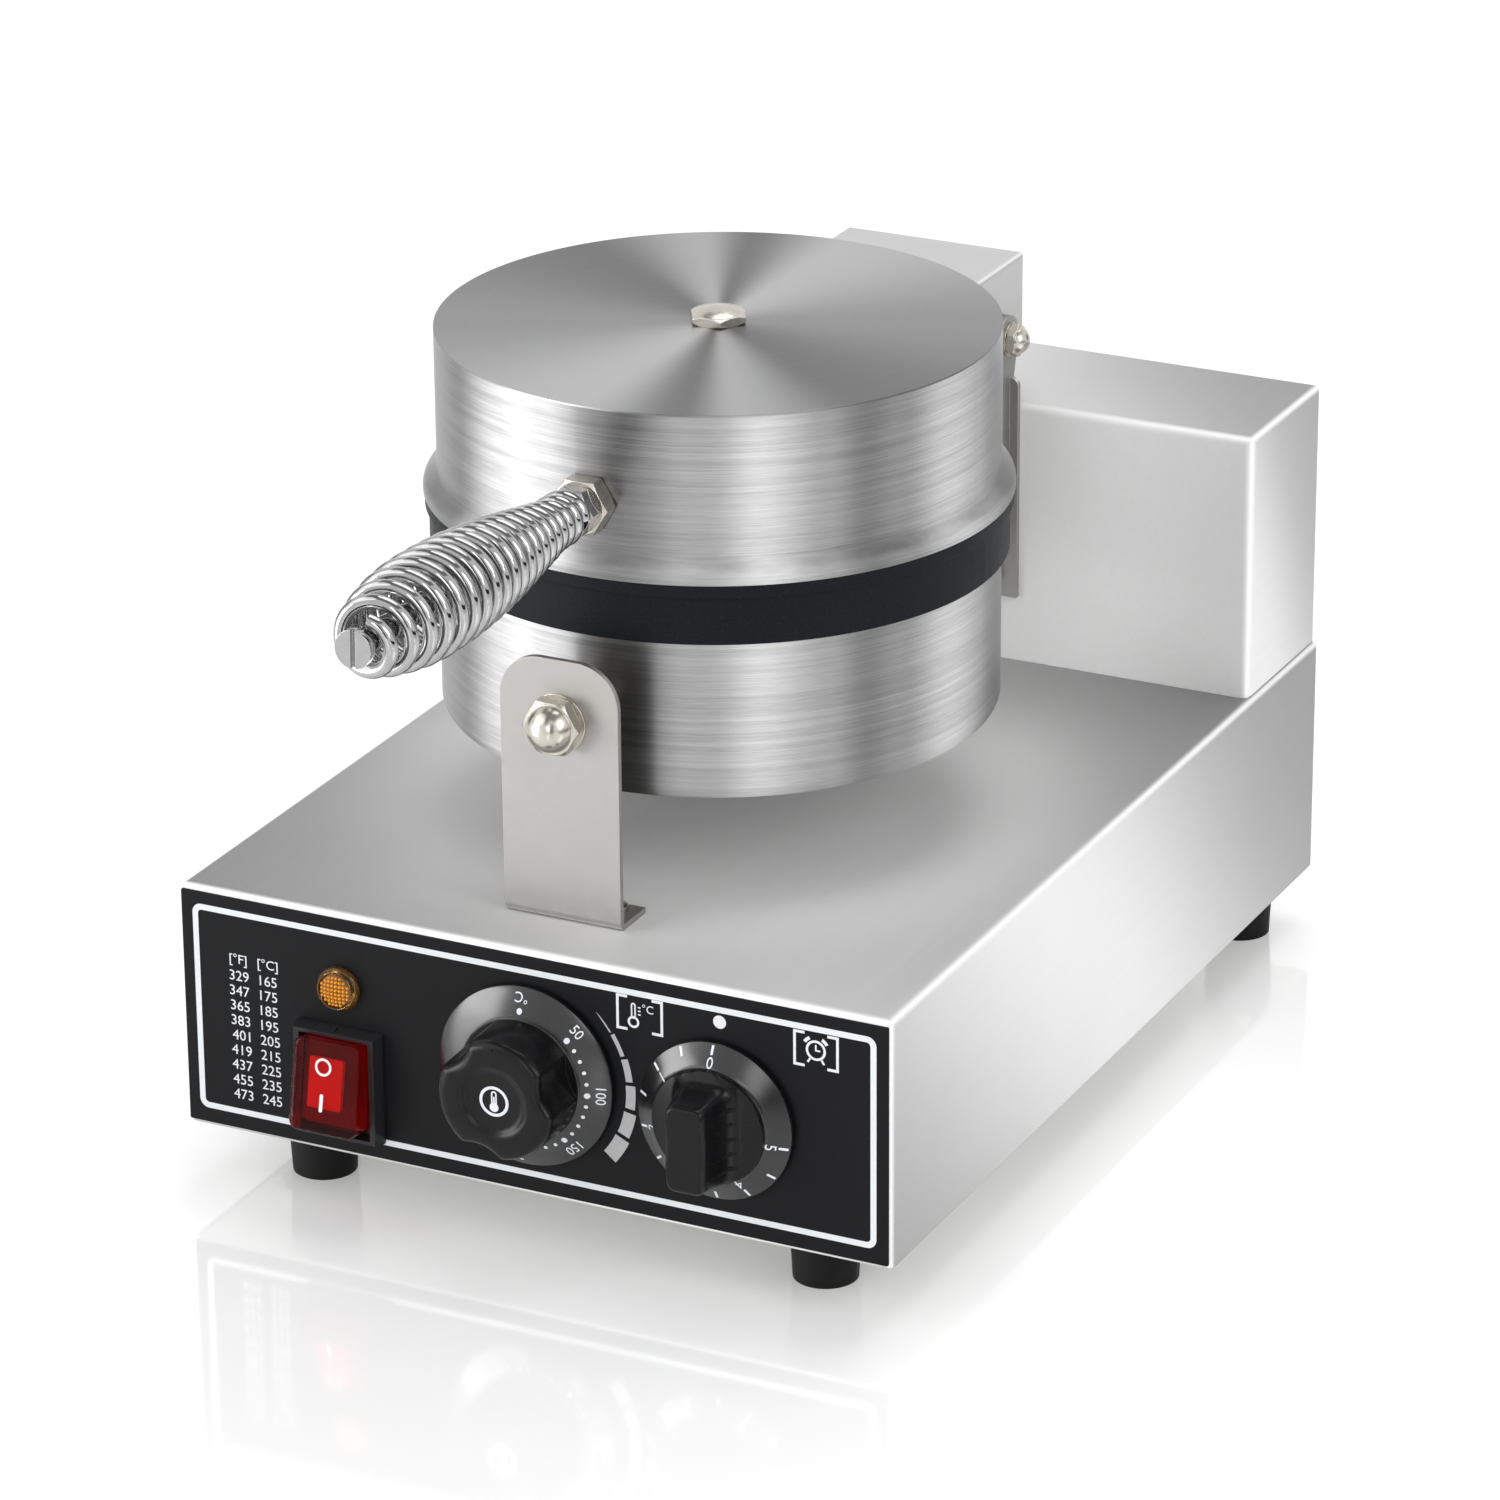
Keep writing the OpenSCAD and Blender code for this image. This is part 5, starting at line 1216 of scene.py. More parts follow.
@dataclass
class ThermostatKnob(RotaryKnob):
    """Round grip with three finger hollows, a pointer rib and a recessed disc with a thermometer."""

    skirt_r: float = 30.5
    grip_r: float = 20.5
    hollow_r: float = 16.0
    hollow_deep: float = 3.0
    hollows_deg: tuple[float, ...] = (15.0, 135.0, 255.0)
    disc_r: float = 11.0
    disc_deep: float = 1.2
    dot_r: float = 23.3
    first_deg: float = 45.0
    ten_degrees: float = 9.5
    icon_r: float = 5.1

    def outline(self, inset: float, share: float = 1.0) -> Callable[[float], float]:
        """Returns the grip's radius as a function of the angle.

        Args:
            inset: How far the outline is moved in.
            share: How deep the finger hollows are, from 0 to 1.

        Returns:
            The function.
        """
        centre = self.grip_r + self.hollow_r - self.hollow_deep * share

        def radius(angle: float) -> float:
            """Returns the radius at an angle."""
            least = self.grip_r
            for hollow in self.hollows_deg:
                off = math.remainder(angle - math.radians(hollow), TURN)
                reach = self.hollow_r ** 2 - (centre * math.sin(off)) ** 2
                if abs(off) < math.pi / 2 and reach > 0:
                    wall = centre * math.cos(off) - math.sqrt(reach)
                    blend = 0.5
                    mixed = max(0.0, min(1.0, 0.5 + (least - wall) / (2 * blend)))
                    least = least + (wall - least) * mixed - blend * mixed * (1 - mixed)
            return least - inset

        return radius

    def build(self, shop: Workshop) -> None:
        """Models the knob, its marks and its icon."""
        place = shop.on_panel("thermostat_shaft")
        top, foot = self.top_z, self.skirt_top
        levels = self.skirt() + [
            (foot - 0.35, self.outline(-0.45, 0.0)), (foot + 0.02, self.outline(-0.1, 0.0)),
            (foot + 0.05, self.outline(-0.1)), (foot + 0.5, self.outline(0.0)), (top - 3.2, self.outline(0.35)),
            (top - 2.0, self.outline(0.55)), (top - 1.1, self.outline(1.0)), (top - 0.45, self.outline(1.75)),
            (top - 0.1, self.outline(2.8)), (top, self.outline(4.0)), (top, self.disc_r + 1.6),
            (top - 0.05, self.disc_r + 0.9), (top - 0.3, self.disc_r + 0.25), (top - 0.8, self.disc_r - 0.55),
            (top - self.disc_deep + 0.1, self.disc_r - 1.2), (top - self.disc_deep, self.disc_r - 2.0),
            (top - self.disc_deep, 0.05)]
        shop.piece("thermostat_knob_moulded", Solid().polar(levels, 192).mesh("thermostat_knob_moulded"), place,
                   Palette.KNOB, Body.THERMOSTAT, ["thermostat_knob"])
        rib = Solid().loft([[(x, y, z) for x, y in rounded(w, self.grip_r - self.disc_r - 4.4, w / 2.2, 4,
                                                           (0.0, (self.grip_r + self.disc_r - 0.9) / 2))]
                            for z, w in ((top - 0.2, 1.7), (top + 0.15, 1.3), (top + 0.35, 0.7))])
        shop.piece("thermostat_pointer_rib", rib, place, Palette.KNOB,
                   Body.THERMOSTAT)
        self._print(shop, place)

    def _print(self, shop: Workshop, place: Matrix) -> None:
        """Prints the scale on the skirt and the thermometer on the disc.

        Args:
            shop: Where pieces are made.
            place: The knob's frame.
        """
        thin = self.print_t
        dot = Solid().prism(circle(0.62, 16), -thin, thin).mesh("dot")
        dots = self.marks(shop, "thermostat_dots", dot, Row(
            21, radius=self.dot_r, first_deg=self.first_deg, turn_deg=self.ten_degrees, large_every=5,
            large_scale=1.55))
        shop.piece("thermostat_dots", dots, place, Palette.INK, Body.THERMOSTAT)
        scale = Solid()
        text_r = self.dot_r + 4.0
        for k in range(5):
            turn = self.first_deg + 5 * k * self.ten_degrees
            spot = (text_r * math.sin(math.radians(turn)), text_r * math.cos(math.radians(turn)))
            scale.text(str(50 * (k + 1)), spot, 3.1, turn, -thin, thin)
        scale.text("°C", (0.0, text_r), 3.1, 180.0, -thin, thin)
        scale.prism(circle(0.95, 20, (0.0, self.dot_r)), -thin, thin)
        scale.drape(self.skirt_height)
        shop.piece("thermostat_scale", scale, place, Palette.INK, Body.THERMOSTAT)
        low = self.top_z - self.disc_deep - thin
        high = low + 2 * thin
        icon = Solid().tube(circle(self.icon_r, 64), circle(self.icon_r - 1.0, 64), low, high)
        icon.tube(rounded(2.0, 5.0, 0.99, 5, (0.0, 1.0)), rounded(1.0, 4.0, 0.49, 5, (0.0, 1.0)), low, high)
        icon.prism(circle(1.55, 32, (0.0, -2.0)), low, high + 0.02)
        icon.stroke((0.0, -1.0), (0.0, 1.6), 0.55, low, high + 0.01)
        shop.piece("thermostat_icon", icon, place, Palette.INK, Body.THERMOSTAT)


@dataclass
class TimerKnob(RotaryKnob):
    """Low hub that rises into a grip bar with fluted flanks, on a skirt with a minute scale."""

    skirt_r: float = 26.5
    grip_r: float = 19.08
    bar_half: float = 6.4
    bar_top: float = 12.9
    bar_low: float = 15.6
    minute_deg: float = -52.0
    minutes: int = 5
    tick_r: float = 24.5
    figure_r: float = 20.9

    def bar(self, spread: float, inset: float) -> Callable[[float], float]:
        """Returns the bar's radius as a function of the angle.

        Args:
            spread: How far towards the hub's circle the form goes, from 0 to 1.
            inset: How far the outline is moved in.

        Returns:
            The function.
        """
        half = self.bar_half + (self.grip_r - self.bar_half) * spread * 0.55
        power = 7.0 - 4.2 * spread

        def radius(angle: float) -> float:
            """Returns the radius at an angle."""
            across, up = math.cos(angle), math.sin(angle)
            reach = self.bar_top if up > 0 else self.bar_low
            reach += (self.grip_r - reach) * spread
            squared = (abs(across) / half) ** power + (abs(up) / reach) ** power
            return squared ** (-1 / power) - inset

        return radius

    def build(self, shop: Workshop) -> None:
        """Models the knob, its flutes and its scale."""
        place = shop.on_panel("timer_shaft")
        top, foot = self.top_z, self.skirt_top
        levels = self.skirt() + [
            (foot - 0.3, self.grip_r + 0.4), (foot + 0.1, self.grip_r + 0.02), (foot + 1.6, self.grip_r - 0.1),
            (foot + 2.3, self.bar(0.86, 0.0)), (foot + 3.0, self.bar(0.6, 0.0)), (foot + 4.2, self.bar(0.42, 0.0)),
            (foot + 7.0, self.bar(0.3, 0.0)), (foot + 11.0, self.bar(0.18, 0.0)), (top - 2.5, self.bar(0.07, 0.0)),
            (top - 0.9, self.bar(0.02, 0.05)), (top - 0.35, self.bar(0.0, 0.35)), (top - 0.06, self.bar(0.0, 0.85)),
            (top, self.bar(0.0, 1.5)), (top, self.bar(0.0, 3.0)), (top, 0.5)]
        shop.piece("timer_knob_moulded", Solid().polar(levels, 192).mesh("timer_knob_moulded"), place,
                   Palette.KNOB, Body.TIMER, ["timer_knob"])
        self._flutes(shop, place)
        self._print(shop, place)

    def _flutes(self, shop: Workshop, place: Matrix) -> None:
        """Adds the ridges between the flutes on both flanks.

        Args:
            shop: Where pieces are made.
            place: The knob's frame.
        """
        flank = [(11.2, 9.2), (9.5, 12.5), (8.25, 17.0), (6.85, 21.6)]
        for side, name in ((1, "right"), (-1, "left")):
            ridge = Solid()
            rings = [[(side * (x + dx), y, z) for dx, y in ((-1.2, -0.7), (-0.35, -0.25), (-0.35, 0.25), (-1.2, 0.7))]
                     for x, z in flank]
            ridge.loft(rings)
            row = Row(5, step=(0.0, 5.0, 0.0))
            seed = ridge.mesh("ridge", 60.0)
            seed.transform(Matrix.Translation((0.0, -11.0, 0.0)))
            mesh = shop.repeated("timer_ridges_" + name, seed, row, Palette.KNOB)
            shop.piece("timer_ridges_" + name, mesh, place, Palette.KNOB, Body.TIMER)

    def _print(self, shop: Workshop, place: Matrix) -> None:
        """Prints the minute scale on the skirt.

        Args:
            shop: Where pieces are made.
            place: The knob's frame.
        """
        thin = self.print_t
        tick = Solid().prism([(-0.4, -1.35), (0.4, -1.35), (0.4, 1.35), (-0.4, 1.35)], -thin, thin).mesh("tick")
        ticks = self.marks(shop, "timer_ticks", tick, Row(
            2 * self.minutes + 1, radius=self.tick_r, turn_deg=self.minute_deg / 2))
        shop.piece("timer_ticks", ticks, place, Palette.INK, Body.TIMER)
        scale = Solid()
        for k in range(self.minutes + 1):
            turn = self.minute_deg * k
            spot = (self.figure_r * math.sin(math.radians(turn)), self.figure_r * math.cos(math.radians(turn)))
            scale.text(str(k), spot, 3.3, turn, -thin, thin)
        scale.drape(self.skirt_height)
        shop.piece("timer_scale", scale, place, Palette.INK, Body.TIMER)


@dataclass
class RockerSwitch:
    """Lit rocker: a clear red cap over a core, in its black frame."""

    width: float = 24.0
    length: float = 30.4
    front: float = 12.8
    back: float = 2.0
    hub_z: float = -5.0
    corner: float = 3.0
    dish: float = 0.7
    tilt_deg: float = 11.0
    core: tuple[float, float] = (12.0, 16.6)
    core_at: Point = (-0.5, 0.9)

    def face_height(self, x: float, y: float) -> float:
        """Returns how far the dished face lies under its ends."""
        return -self.dish * max(0.0, 1 - (2 * y / self.length) ** 2)

    def build(self, shop: Workshop) -> None:
        """Models the cap, its core and carrier, and the signs for on and off."""
        place = shop.on_panel("switch_frame")
        pivot_z = shop.middle("switch_frame").z
        tilted = Matrix.Translation((place.translation.x, shop.face_y, pivot_z)) @ Matrix.Rotation(
            math.radians(90 - self.tilt_deg), 4, "X")
        insets = [(self.back, 0.5), (self.back + 0.3, 0.0), (self.front - 1.2, 0.0), (self.front - 0.55, 0.13),
                  (self.front - 0.15, 0.55), (self.front, 1.2), (self.front, 2.2), (self.front, 4.0),
                  (self.front, 6.0), (self.front, 8.0), (self.front, 10.2)]
        rings = []
        for z, inset in insets:
            outline = rounded(self.width - 2 * inset, self.length - 2 * inset,
                              max(0.25, self.corner - inset), 6)
            rings.append([(x, y, z + (self.face_height(x, y) if z > self.front - 0.6 else 0.0))
                          for x, y in outline])
        cap = Solid().loft(rings)
        shop.piece("rocker_cap", cap.mesh("rocker_cap", 50.0), tilted, Palette.RED_CAP, Body.ROCKER,
                   ["power_rocker"])
        core = Solid().prism(rounded(*self.core, 0.6, at=self.core_at), self.front - 4.6, self.front - 2.4)
        shop.piece("rocker_core", core, tilted, Palette.RED_CORE, Body.ROCKER)
        # The carrier is the rocker's body, its dark red colour painted shade seen through the cap.
        carrier = Solid().prism(rounded(self.width - 2.6, self.length - 2.6, 2.0), self.back + 0.35, self.back + 1.1)
        hub = [(self.hub_z, self.hub_z), (-self.hub_z, self.hub_z), (self.length / 2 - 1.5, self.back + 0.4),
               (1.5 - self.length / 2, self.back + 0.4)]
        half = self.width / 2 - 0.3
        carrier.loft([[(x, y, z) for y, z in hub] for x in (-half, half)])
        shop.piece("rocker_carrier", carrier, tilted, Palette.RED_WELL, Body.ROCKER)
        signs = Solid()
        signs.tube(circle(2.95, 48, (-0.7, 6.6)), circle(2.15, 48, (-0.7, 6.6)), self.front - 0.05,
                   self.front + 0.08)
        signs.prism(rounded(1.2, 5.9, 0.5, 4, (-0.7, -5.2)), self.front - 0.05, self.front + 0.08)
        signs.drape(self.face_height)
        shop.piece("rocker_signs", signs, tilted, Palette.INK, Body.ROCKER)
        shop.dress(Palette.FRAME, "switch_frame")
        shop.dress(Palette.BRASS, "switch_terminals")


@dataclass
class PilotLamp:
    """Amber pilot lamp: a clear rim round a domed grid of small prisms."""

    radius: float = 7.4
    rim_in: float = 5.7
    rim_h: float = 3.9
    prism: float = 1.3
    grid_r: float = 5.3
    dome_r: float = 17.0

    def build(self, shop: Workshop) -> None:
        """Models the rim, the prisms and the reflector behind them, whose dark colour is painted shade between the
        prisms.
        """
        place = shop.on_panel("lamp_lens")
        out, rim = self.radius, self.rim_in
        profile = [(-8.0, out - 3.0), (-0.2, out - 2.4), (0.0, out - 0.1), (0.15, out), (1.5, out), (1.95, out - 0.25),
                   (2.3, out - 0.75), (2.9, out - 0.85), (self.rim_h - 0.3, out - 1.0), (self.rim_h, out - 1.35),
                   (self.rim_h - 0.1, rim + 0.1), (self.rim_h - 0.5, rim - 0.1), (2.2, rim - 0.3), (2.2, 0.1)]
        shop.piece("lamp_rim", Solid().polar(profile, 64).mesh("lamp_rim", 40.0), place, Palette.AMBER, Body.BASE,
                   ["lamp_lens"])
        half = self.prism / 2
        peak = Solid().loft([[(sx * r, sy * r, z) for sx, sy in ((-1, -1), (1, -1), (1, 1), (-1, 1))]
                             for r, z in ((half * 0.7, -0.6), (half * 0.62, 0.0), (half * 0.46, 0.3),
                                          (half * 0.2, 0.45))])
        prisms = shop.grown("lamp_prisms", peak.mesh("prism", 20.0), self._grid_tree(), {
            "Pitch": self.prism, "Across": 8, "Radius": self.grid_r, "Dome": 0.5 / self.dome_r,
            "Material": shop.finish(Palette.AMBER_CORE)})
        shop.piece("lamp_prisms", prisms, place @ Matrix.Translation((0, 0, 4.1 * MM)), Palette.AMBER_CORE,
                   Body.BASE)
        # Dark amber back: painted shade that shows in the gaps between the prisms.
        back = Solid().polar([(2.0, rim - 0.7), (2.25, rim - 0.35), (2.9, rim - 0.3), (3.1, rim - 0.8),
                              (3.3, rim - 2.6), (3.4, 0.1)], 48)
        shop.piece("lamp_reflector_shaded", back, place, Palette.AMBER_BACK, Body.BASE)
        shop.dress(Palette.FITTING, "lamp_body")

    @staticmethod
    def _grid_tree() -> NodeGroup:
        """Returns the geometry group that sets a mesh on a grid inside a circle."""
        group = NodeGroup(
            "grid_in_a_circle", "GeometryNodeTree",
            "Geometry: Geometry, Pitch: Float, Across: Int, Radius: Float, Dome: Float, Material: Material",
            "Geometry: Geometry")
        graph, given = group.graph, group.given
        side = graph.math("MULTIPLY", given["Pitch"], graph.math("SUBTRACT", given["Across"], 1.0))
        grid = graph.node("GeometryNodeMeshGrid", side, side, given["Across"], given["Across"])
        reach = graph.length(graph.node("GeometryNodeInputPosition").outputs[0])
        sink = graph.math("MULTIPLY", graph.math("MULTIPLY", reach, reach), graph.math("MULTIPLY", given["Dome"], -1.0))
        outside = graph.node("FunctionNodeCompare", reach, given["Radius"], operation="GREATER_THAN")
        inside = graph.node("GeometryNodeDeleteGeometry", grid.outputs[0], outside.outputs[0])
        offset = graph.joined(0.0, 0.0, sink)
        domed = graph.node("GeometryNodeSetPosition", inside.outputs[0], named={"Offset": offset})
        copies = graph.node("GeometryNodeInstanceOnPoints", domed.outputs[0], named={"Instance": given["Geometry"]})
        return group.dressed(copies.outputs[0])


@dataclass
class PanelPrint:
    """What is printed on the panel: a border, two icons, a level mark and a table of degrees."""

    border: tuple[float, float, float, float] = (-120.0, 6.0, 120.0, 77.5)
    line: float = 2.0
    thin: float = 0.06
    first_celsius: int = 165
    celsius_step: int = 10
    rows: int = 9

    def build(self, shop: Workshop) -> None:
        """Prints the panel; heights are measured from the base's underside."""
        base_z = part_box("base_shell")[0].z
        place = Matrix.Translation((0.0, shop.face_y, base_z)) @ Matrix.Rotation(math.pi / 2, 4, "X")
        white = Solid()
        self._border(white)
        self._thermometer(white)
        self._clock(white)
        white.prism(circle(2.2, 40, (66.9, 72.4)), -self.thin, self.thin)
        self._table(white)
        shop.piece("panel_print_white", white, place, Palette.INK, Body.BASE)
        shop.piece("panel_heat_scale", self._heat_scale(shop), place, Palette.GREY_INK,
                   Body.BASE)
        shop.dress(Palette.PANEL, "control_panel")

    def _border(self, ink: Solid) -> None:
        """Adds the border line."""
        left, low, right, high = self.border
        middle = ((left + right) / 2, (low + high) / 2)
        size = (right - left, high - low)
        ink.tube(rounded(*size, 3.2, 8, middle), rounded(size[0] - 2 * self.line, size[1] - 2 * self.line, 1.4, 8,
                                                         middle), -self.thin, self.thin)

    def _bracket(self, ink: Solid, left: float, right: float, low: float, high: float) -> None:
        """Adds a pair of square brackets round an icon.

        Args:
            ink: What the lines go into.
            left: Left side.
            right: Right side.
            low: Lower side.
            high: Upper side.
        """
        width, arm = 0.9, 3.4
        for x, way in ((left, 1), (right, -1)):
            ink.stroke((x, low - width / 2), (x, high + width / 2), width, -self.thin, self.thin)
            for z in (low, high):
                ink.stroke((x, z), (x + way * arm, z), width, -self.thin, self.thin + 0.01)

    def _thermometer(self, ink: Solid) -> None:
        """Adds the bracketed thermometer."""
        x, low, high = 37.2, -self.thin, self.thin
        self._bracket(ink, 31.7, 47.0, 63.9, 74.9)
        ink.tube(circle(2.0, 32, (x, 66.6)), circle(1.25, 32, (x, 66.6)), low, high)
        ink.tube(rounded(1.7, 5.4, 0.84, 5, (x, 70.4)), rounded(0.7, 4.4, 0.34, 5, (x, 70.4)), low, high + 0.01)
        for k in range(3):
            ink.stroke((x + 1.6, 69.4 + 1.2 * k), (x + 2.5, 69.4 + 1.2 * k), 0.45, low, high)
        ink.text("°C", (42.2, 71.8), 2.7, 0.0, low, high)

    def _clock(self, ink: Solid) -> None:
        """Adds the bracketed alarm clock."""
        x, y, low, high = 99.6, 69.3, -self.thin, self.thin
        self._bracket(ink, 92.4, 106.9, 63.7, 74.7)
        ink.tube(circle(3.4, 40, (x, y)), circle(2.6, 40, (x, y)), low, high)
        ink.stroke((x, y - 0.2), (x, y + 1.9), 0.55, low, high)
        ink.stroke((x - 0.2, y), (x + 1.5, y), 0.55, low, high + 0.01)
        for side in (-1, 1):
            bell = sector(3.9, 5.0, side * 28.0, side * 58.0)
            ink.prism([(x + dx, y + dy) for dx, dy in bell], low, high)
            ink.stroke((x + side * 1.9, y - 2.9), (x + side * 2.8, y - 4.3), 0.7, low, high)

    def _table(self, ink: Solid) -> None:
        """Adds two columns of matching degrees."""
        for k in range(self.rows):
            celsius = self.first_celsius + k * self.celsius_step
            z = 54.9 - 5.2 * k
            ink.text(str(round(celsius * 1.8 + 32)), (-103.7, z), 3.5, 0.0, -self.thin, self.thin)
            ink.text(str(celsius), (-93.1, z), 3.5, 0.0, -self.thin, self.thin)
        for words, x in (("[°F]", -103.9), ("[°C]", -93.1)):
            ink.text(words, (x, 60.3), 3.2, 0.0, -self.thin, self.thin)

    def _heat_scale(self, shop: Workshop) -> Solid:
        """Returns the row of growing blocks round the thermostat."""
        centre = shop.middle("thermostat_shaft")
        base_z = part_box("base_shell")[0].z
        blocks = Solid()
        spans = ((43.0, 55.8), (57.2, 69.6), (71.3, 83.6), (85.6, 98.3), (100.7, 113.8), (116.0, 129.2))
        for k, (start, end) in enumerate(spans):
            outer = 35.4 + 0.72 * k
            inner = 34.9 - 0.22 * k
            outline = sector(inner, outer, start, end, 6)
            if k == 0:
                outline = outline[:7] + [outline[7], outline[0]]
            blocks.prism([(x + centre.x / MM, y + (centre.z - base_z) / MM) for x, y in outline],
                         -self.thin, self.thin)
        return blocks


@dataclass
class BakingHeads:
    """Both round heads with their castings, elements and fixings."""

    def build(self, shop: Workshop) -> None:
        """Dresses the heads."""
        shop.dress(Palette.LID_STEEL, "upper_shell", "lower_shell")
        shop.dress(Palette.CASTING, "upper_plate", "lower_plate")
        shop.dress(Palette.HEATER, "upper_element", "lower_element")
        shop.dress(Palette.WOOL, "upper_insulation", "lower_insulation")
        shop.dress(Palette.NICKEL, "lid_nut", "lid_stud", "lower_stud")
        shop.dress(Palette.BRASS, "sensor_bulb")


@dataclass
class BaseAndHousing:
    """The folded base, its feet and the rear housing, with what they hold."""

    def build(self, shop: Workshop) -> None:
        """Dresses the base and the housing."""
        shop.dress(Palette.BODY_STEEL, "base_shell", "base_front", "base_back", "rear_housing")
        shop.dress(Palette.CASE, "base_bottom", "rear_cover", "thermostat_body", "timer_body")
        shop.dress(Palette.RUBBER, "rubber_feet", "lead_grommet")
        shop.dress(Palette.NICKEL, "bottom_screws", "foot_screws", "housing_screws", "rear_cover_screws")
        shop.dress(Palette.CHROME, "thermostat_shaft", "timer_shaft")
        shop.dress(Palette.FITTING, "cable_gland", "gland_nut")
        shop.dress(Palette.CERAMIC, "terminal_block")


@dataclass
class HingeAndBrackets:
    """The front bracket, the rear arm and both halves of the hinge."""

    def build(self, shop: Workshop) -> None:
        """Dresses the brackets."""
        shop.dress(Palette.BRACKET_STEEL, "front_bracket", "hinge_bracket", "rear_arm", "hinge_arm")
        shop.dress(Palette.COVER_STEEL, "hinge_cover")
        shop.dress(Palette.NICKEL, "front_bracket_screws", "front_stud", "front_washer", "front_acorn_nut",
                   "front_spacer", "front_inner_nut", "hinge_bracket_screws", "rear_arm_bolts", "hinge_pin",
                   "hinge_washers", "hinge_cap_nuts", "hinge_arm_screws")


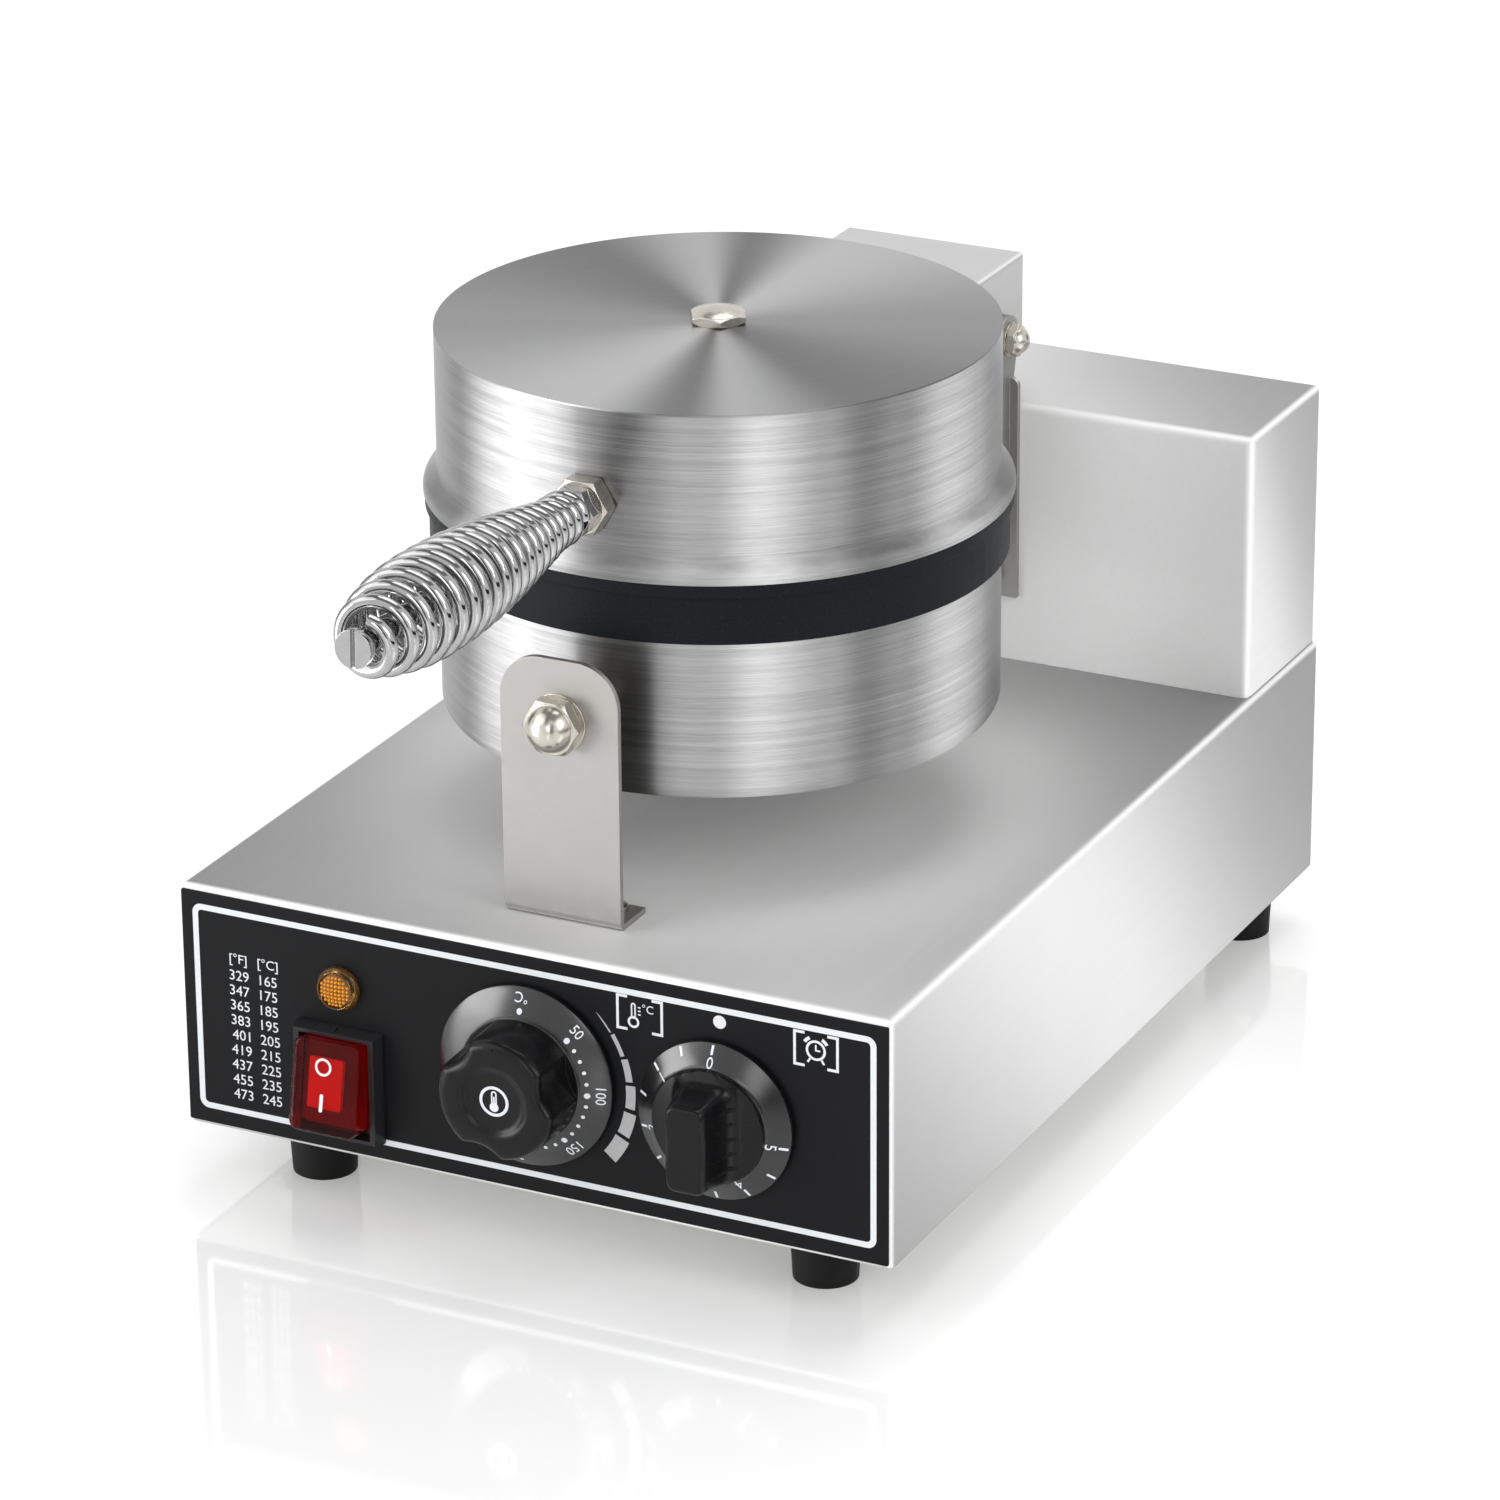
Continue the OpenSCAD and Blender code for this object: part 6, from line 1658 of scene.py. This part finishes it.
@dataclass
class Studio:
    """Plain pale floor, soft lamps, dark cards for the metal to mirror, and the camera."""

    lens_mm: float = 160.66
    azimuth_deg: float = 26.33
    elevation_deg: float = 22.44
    roll_deg: float = -0.43
    camera_at: tuple[float, float, float] = (0.90236, -1.79934, 0.95313)
    ambient: float = 0.62
    lamps: tuple = (
        ("key_lamp", (-1.3, -1.2, 1.7), 2.0, 11.5),
        ("side_lamp", (1.7, -0.5, 1.2), 1.0, 9.0),
        ("top_lamp", (0.1, 0.6, 2.0), 1.4, 11.0),
        ("fill_lamp", (0.8, -2.0, 0.8), 1.2, 10.5))
    cards: tuple = (
        ("ceiling_card", (0.0, 0.0, 2.6), (3.4, 3.4), 0.3),
        ("left_glint_card", (-1.6, -1.5, 0.36), (1.0, 0.8), 8.5),
        ("right_glint_card", (2.0, -0.9, 0.62), (0.3, 0.3), 6.0),
        ("low_right_card", (1.6, -0.2, 0.11), (1.6, 0.22), 0.03),
        ("front_card", (0.9, -1.75, 0.6), (0.6, 1.6), 0.12),
        ("rear_right_card", (1.3, 1.5, 0.35), (0.8, 0.9), 0.25),
        ("left_card", (-1.9, 0.3, 0.5), (0.7, 1.2), 0.15))

    def build(self) -> None:
        """Sets up the camera, the world, the floor, the lamps and the cards."""
        self._camera()
        self._world()
        self._floor()
        aim = Vector((0.0, 0.0, 0.12))
        for name, place, size, power in self.lamps:
            light = bpy.data.lights.new(name, "AREA")
            light.shape, light.size, light.energy = "DISK", size, power
            self._stand(bpy.data.objects.new(name, light), Vector(place), aim)
        for name, place, size, level in self.cards:
            self._card(name, Vector(place), aim, size, level)
        view = bpy.context.scene.view_settings
        view.view_transform = "Standard"

    @staticmethod
    def _stand(thing: bpy.types.Object, place: Vector, aim: Vector) -> None:
        """Puts a thing in the scene, turned to look at a point."""
        bpy.context.scene.collection.objects.link(thing)
        thing.rotation_mode = "QUATERNION"
        thing.rotation_quaternion = (aim - place).to_track_quat("-Z", "Y")
        thing.location = place

    def _camera(self) -> None:
        """Makes the camera."""
        turn, rise, roll = (math.radians(v) for v in (self.azimuth_deg, self.elevation_deg, self.roll_deg))
        back = Vector((math.sin(turn) * math.cos(rise), -math.cos(turn) * math.cos(rise), math.sin(rise)))
        level = Vector((math.cos(turn), math.sin(turn), 0.0))
        upward = back.cross(level)
        right = math.cos(roll) * level + math.sin(roll) * upward
        up = math.cos(roll) * upward - math.sin(roll) * level
        data = bpy.data.cameras.new("camera")
        data.sensor_fit, data.sensor_width, data.lens = "HORIZONTAL", 36.0, self.lens_mm
        data.clip_start, data.clip_end = 0.1, 50.0
        camera = bpy.data.objects.new("camera", data)
        bpy.context.scene.collection.objects.link(camera)
        facing = Matrix((right, up, back)).transposed().to_4x4()
        camera.matrix_world = Matrix.Translation(self.camera_at) @ facing
        bpy.context.scene.camera = camera

    def _world(self) -> None:
        """Lights the scene softly and shows white to the camera and in reflections."""
        world = bpy.data.worlds.new("studio")
        bpy.context.scene.world = world
        world.use_nodes = True
        graph = Graph(world.node_tree)
        shader = world.node_tree.nodes["Background"]
        path = graph.node("ShaderNodeLightPath").outputs
        seen = graph.math("MAXIMUM", path["Is Camera Ray"], graph.math(
            "MAXIMUM", path["Is Glossy Ray"], path["Is Transmission Ray"]))
        graph.fill(shader, {"Color": (1.0, 1.0, 1.0), "Strength": graph.between(seen, self.ambient, 1.0)})

    @staticmethod
    def _stage_finish(mesh: Mesh, name: str, colour: Colour, roughness: float, specular: float) -> tuple[Graph, Node]:
        """Gives a mesh of the stage its material, which can glow white.

        Args:
            mesh: The mesh.
            name: The material's name.
            colour: Its colour.
            roughness: Its roughness.
            specular: Its specular level.

        Returns:
            The material's graph and its shader.
        """
        made = bpy.data.materials.new(name)
        made.use_nodes = True
        mesh.materials.append(made)
        graph, shader = Graph(made.node_tree), made.node_tree.nodes["Principled BSDF"]
        graph.fill(shader, {
            "Base Color": colour, "Roughness": roughness, "Specular IOR Level": specular,
            "Emission Color": (1.0, 1.0, 1.0)})
        return graph, shader

    def _floor(self) -> None:
        """Lays a pale floor that keeps the shadow."""
        slab = Solid().prism(rounded(24000.0, 24000.0, 4000.0, 12), -20.0, 0.0)
        mesh = slab.mesh("floor")
        mesh.transform(Matrix.Scale(MM, 4))
        graph, shader = self._stage_finish(mesh, "floor_paper", (0.93, 0.93, 0.93), 0.07, 0.9)
        path = graph.node("ShaderNodeLightPath").outputs
        seen = graph.math("MAXIMUM", path["Is Camera Ray"], path["Is Glossy Ray"])
        graph.fill(shader, {"IOR": 1.8, "Emission Strength": graph.math("MULTIPLY", seen, 0.16)})
        floor = bpy.data.objects.new("floor", mesh)
        bpy.context.scene.collection.objects.link(floor)

    def _card(self, name: str, place: Vector, aim: Vector, size: Point, level: float) -> None:
        """Stands a grey card that only reflections see.

        Args:
            name: The card's name.
            place: Its middle.
            aim: Where it faces.
            size: Its width and height in metres.
            level: How light it looks, from 0 to 1.
        """
        mesh = Solid().prism(rounded(*size, 0.1, 3), -0.005, 0.0).mesh(name)
        graph, shader = self._stage_finish(mesh, name, (0.0, 0.0, 0.0), 1.0, 0.0)
        graph.fill(shader, {"Emission Strength": level})
        card = bpy.data.objects.new(name, mesh)
        self._stand(card, place, aim)
        card.visible_camera = card.visible_diffuse = card.visible_shadow = card.visible_transmission = False


def main() -> None:
    """Builds the studio and dresses the cone maker."""
    logging.basicConfig(level=logging.INFO, format="%(name)s: %(message)s")
    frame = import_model()
    Studio().build()
    shop = Workshop(frame)
    assemblies = (BaseAndHousing(), HingeAndBrackets(), BakingHeads(), CoilHandle(), ThermostatKnob(), TimerKnob(),
                  RockerSwitch(), PilotLamp(), PanelPrint())
    for assembly in assemblies:
        assembly.build(shop)


if __name__ == "__main__":
    main()
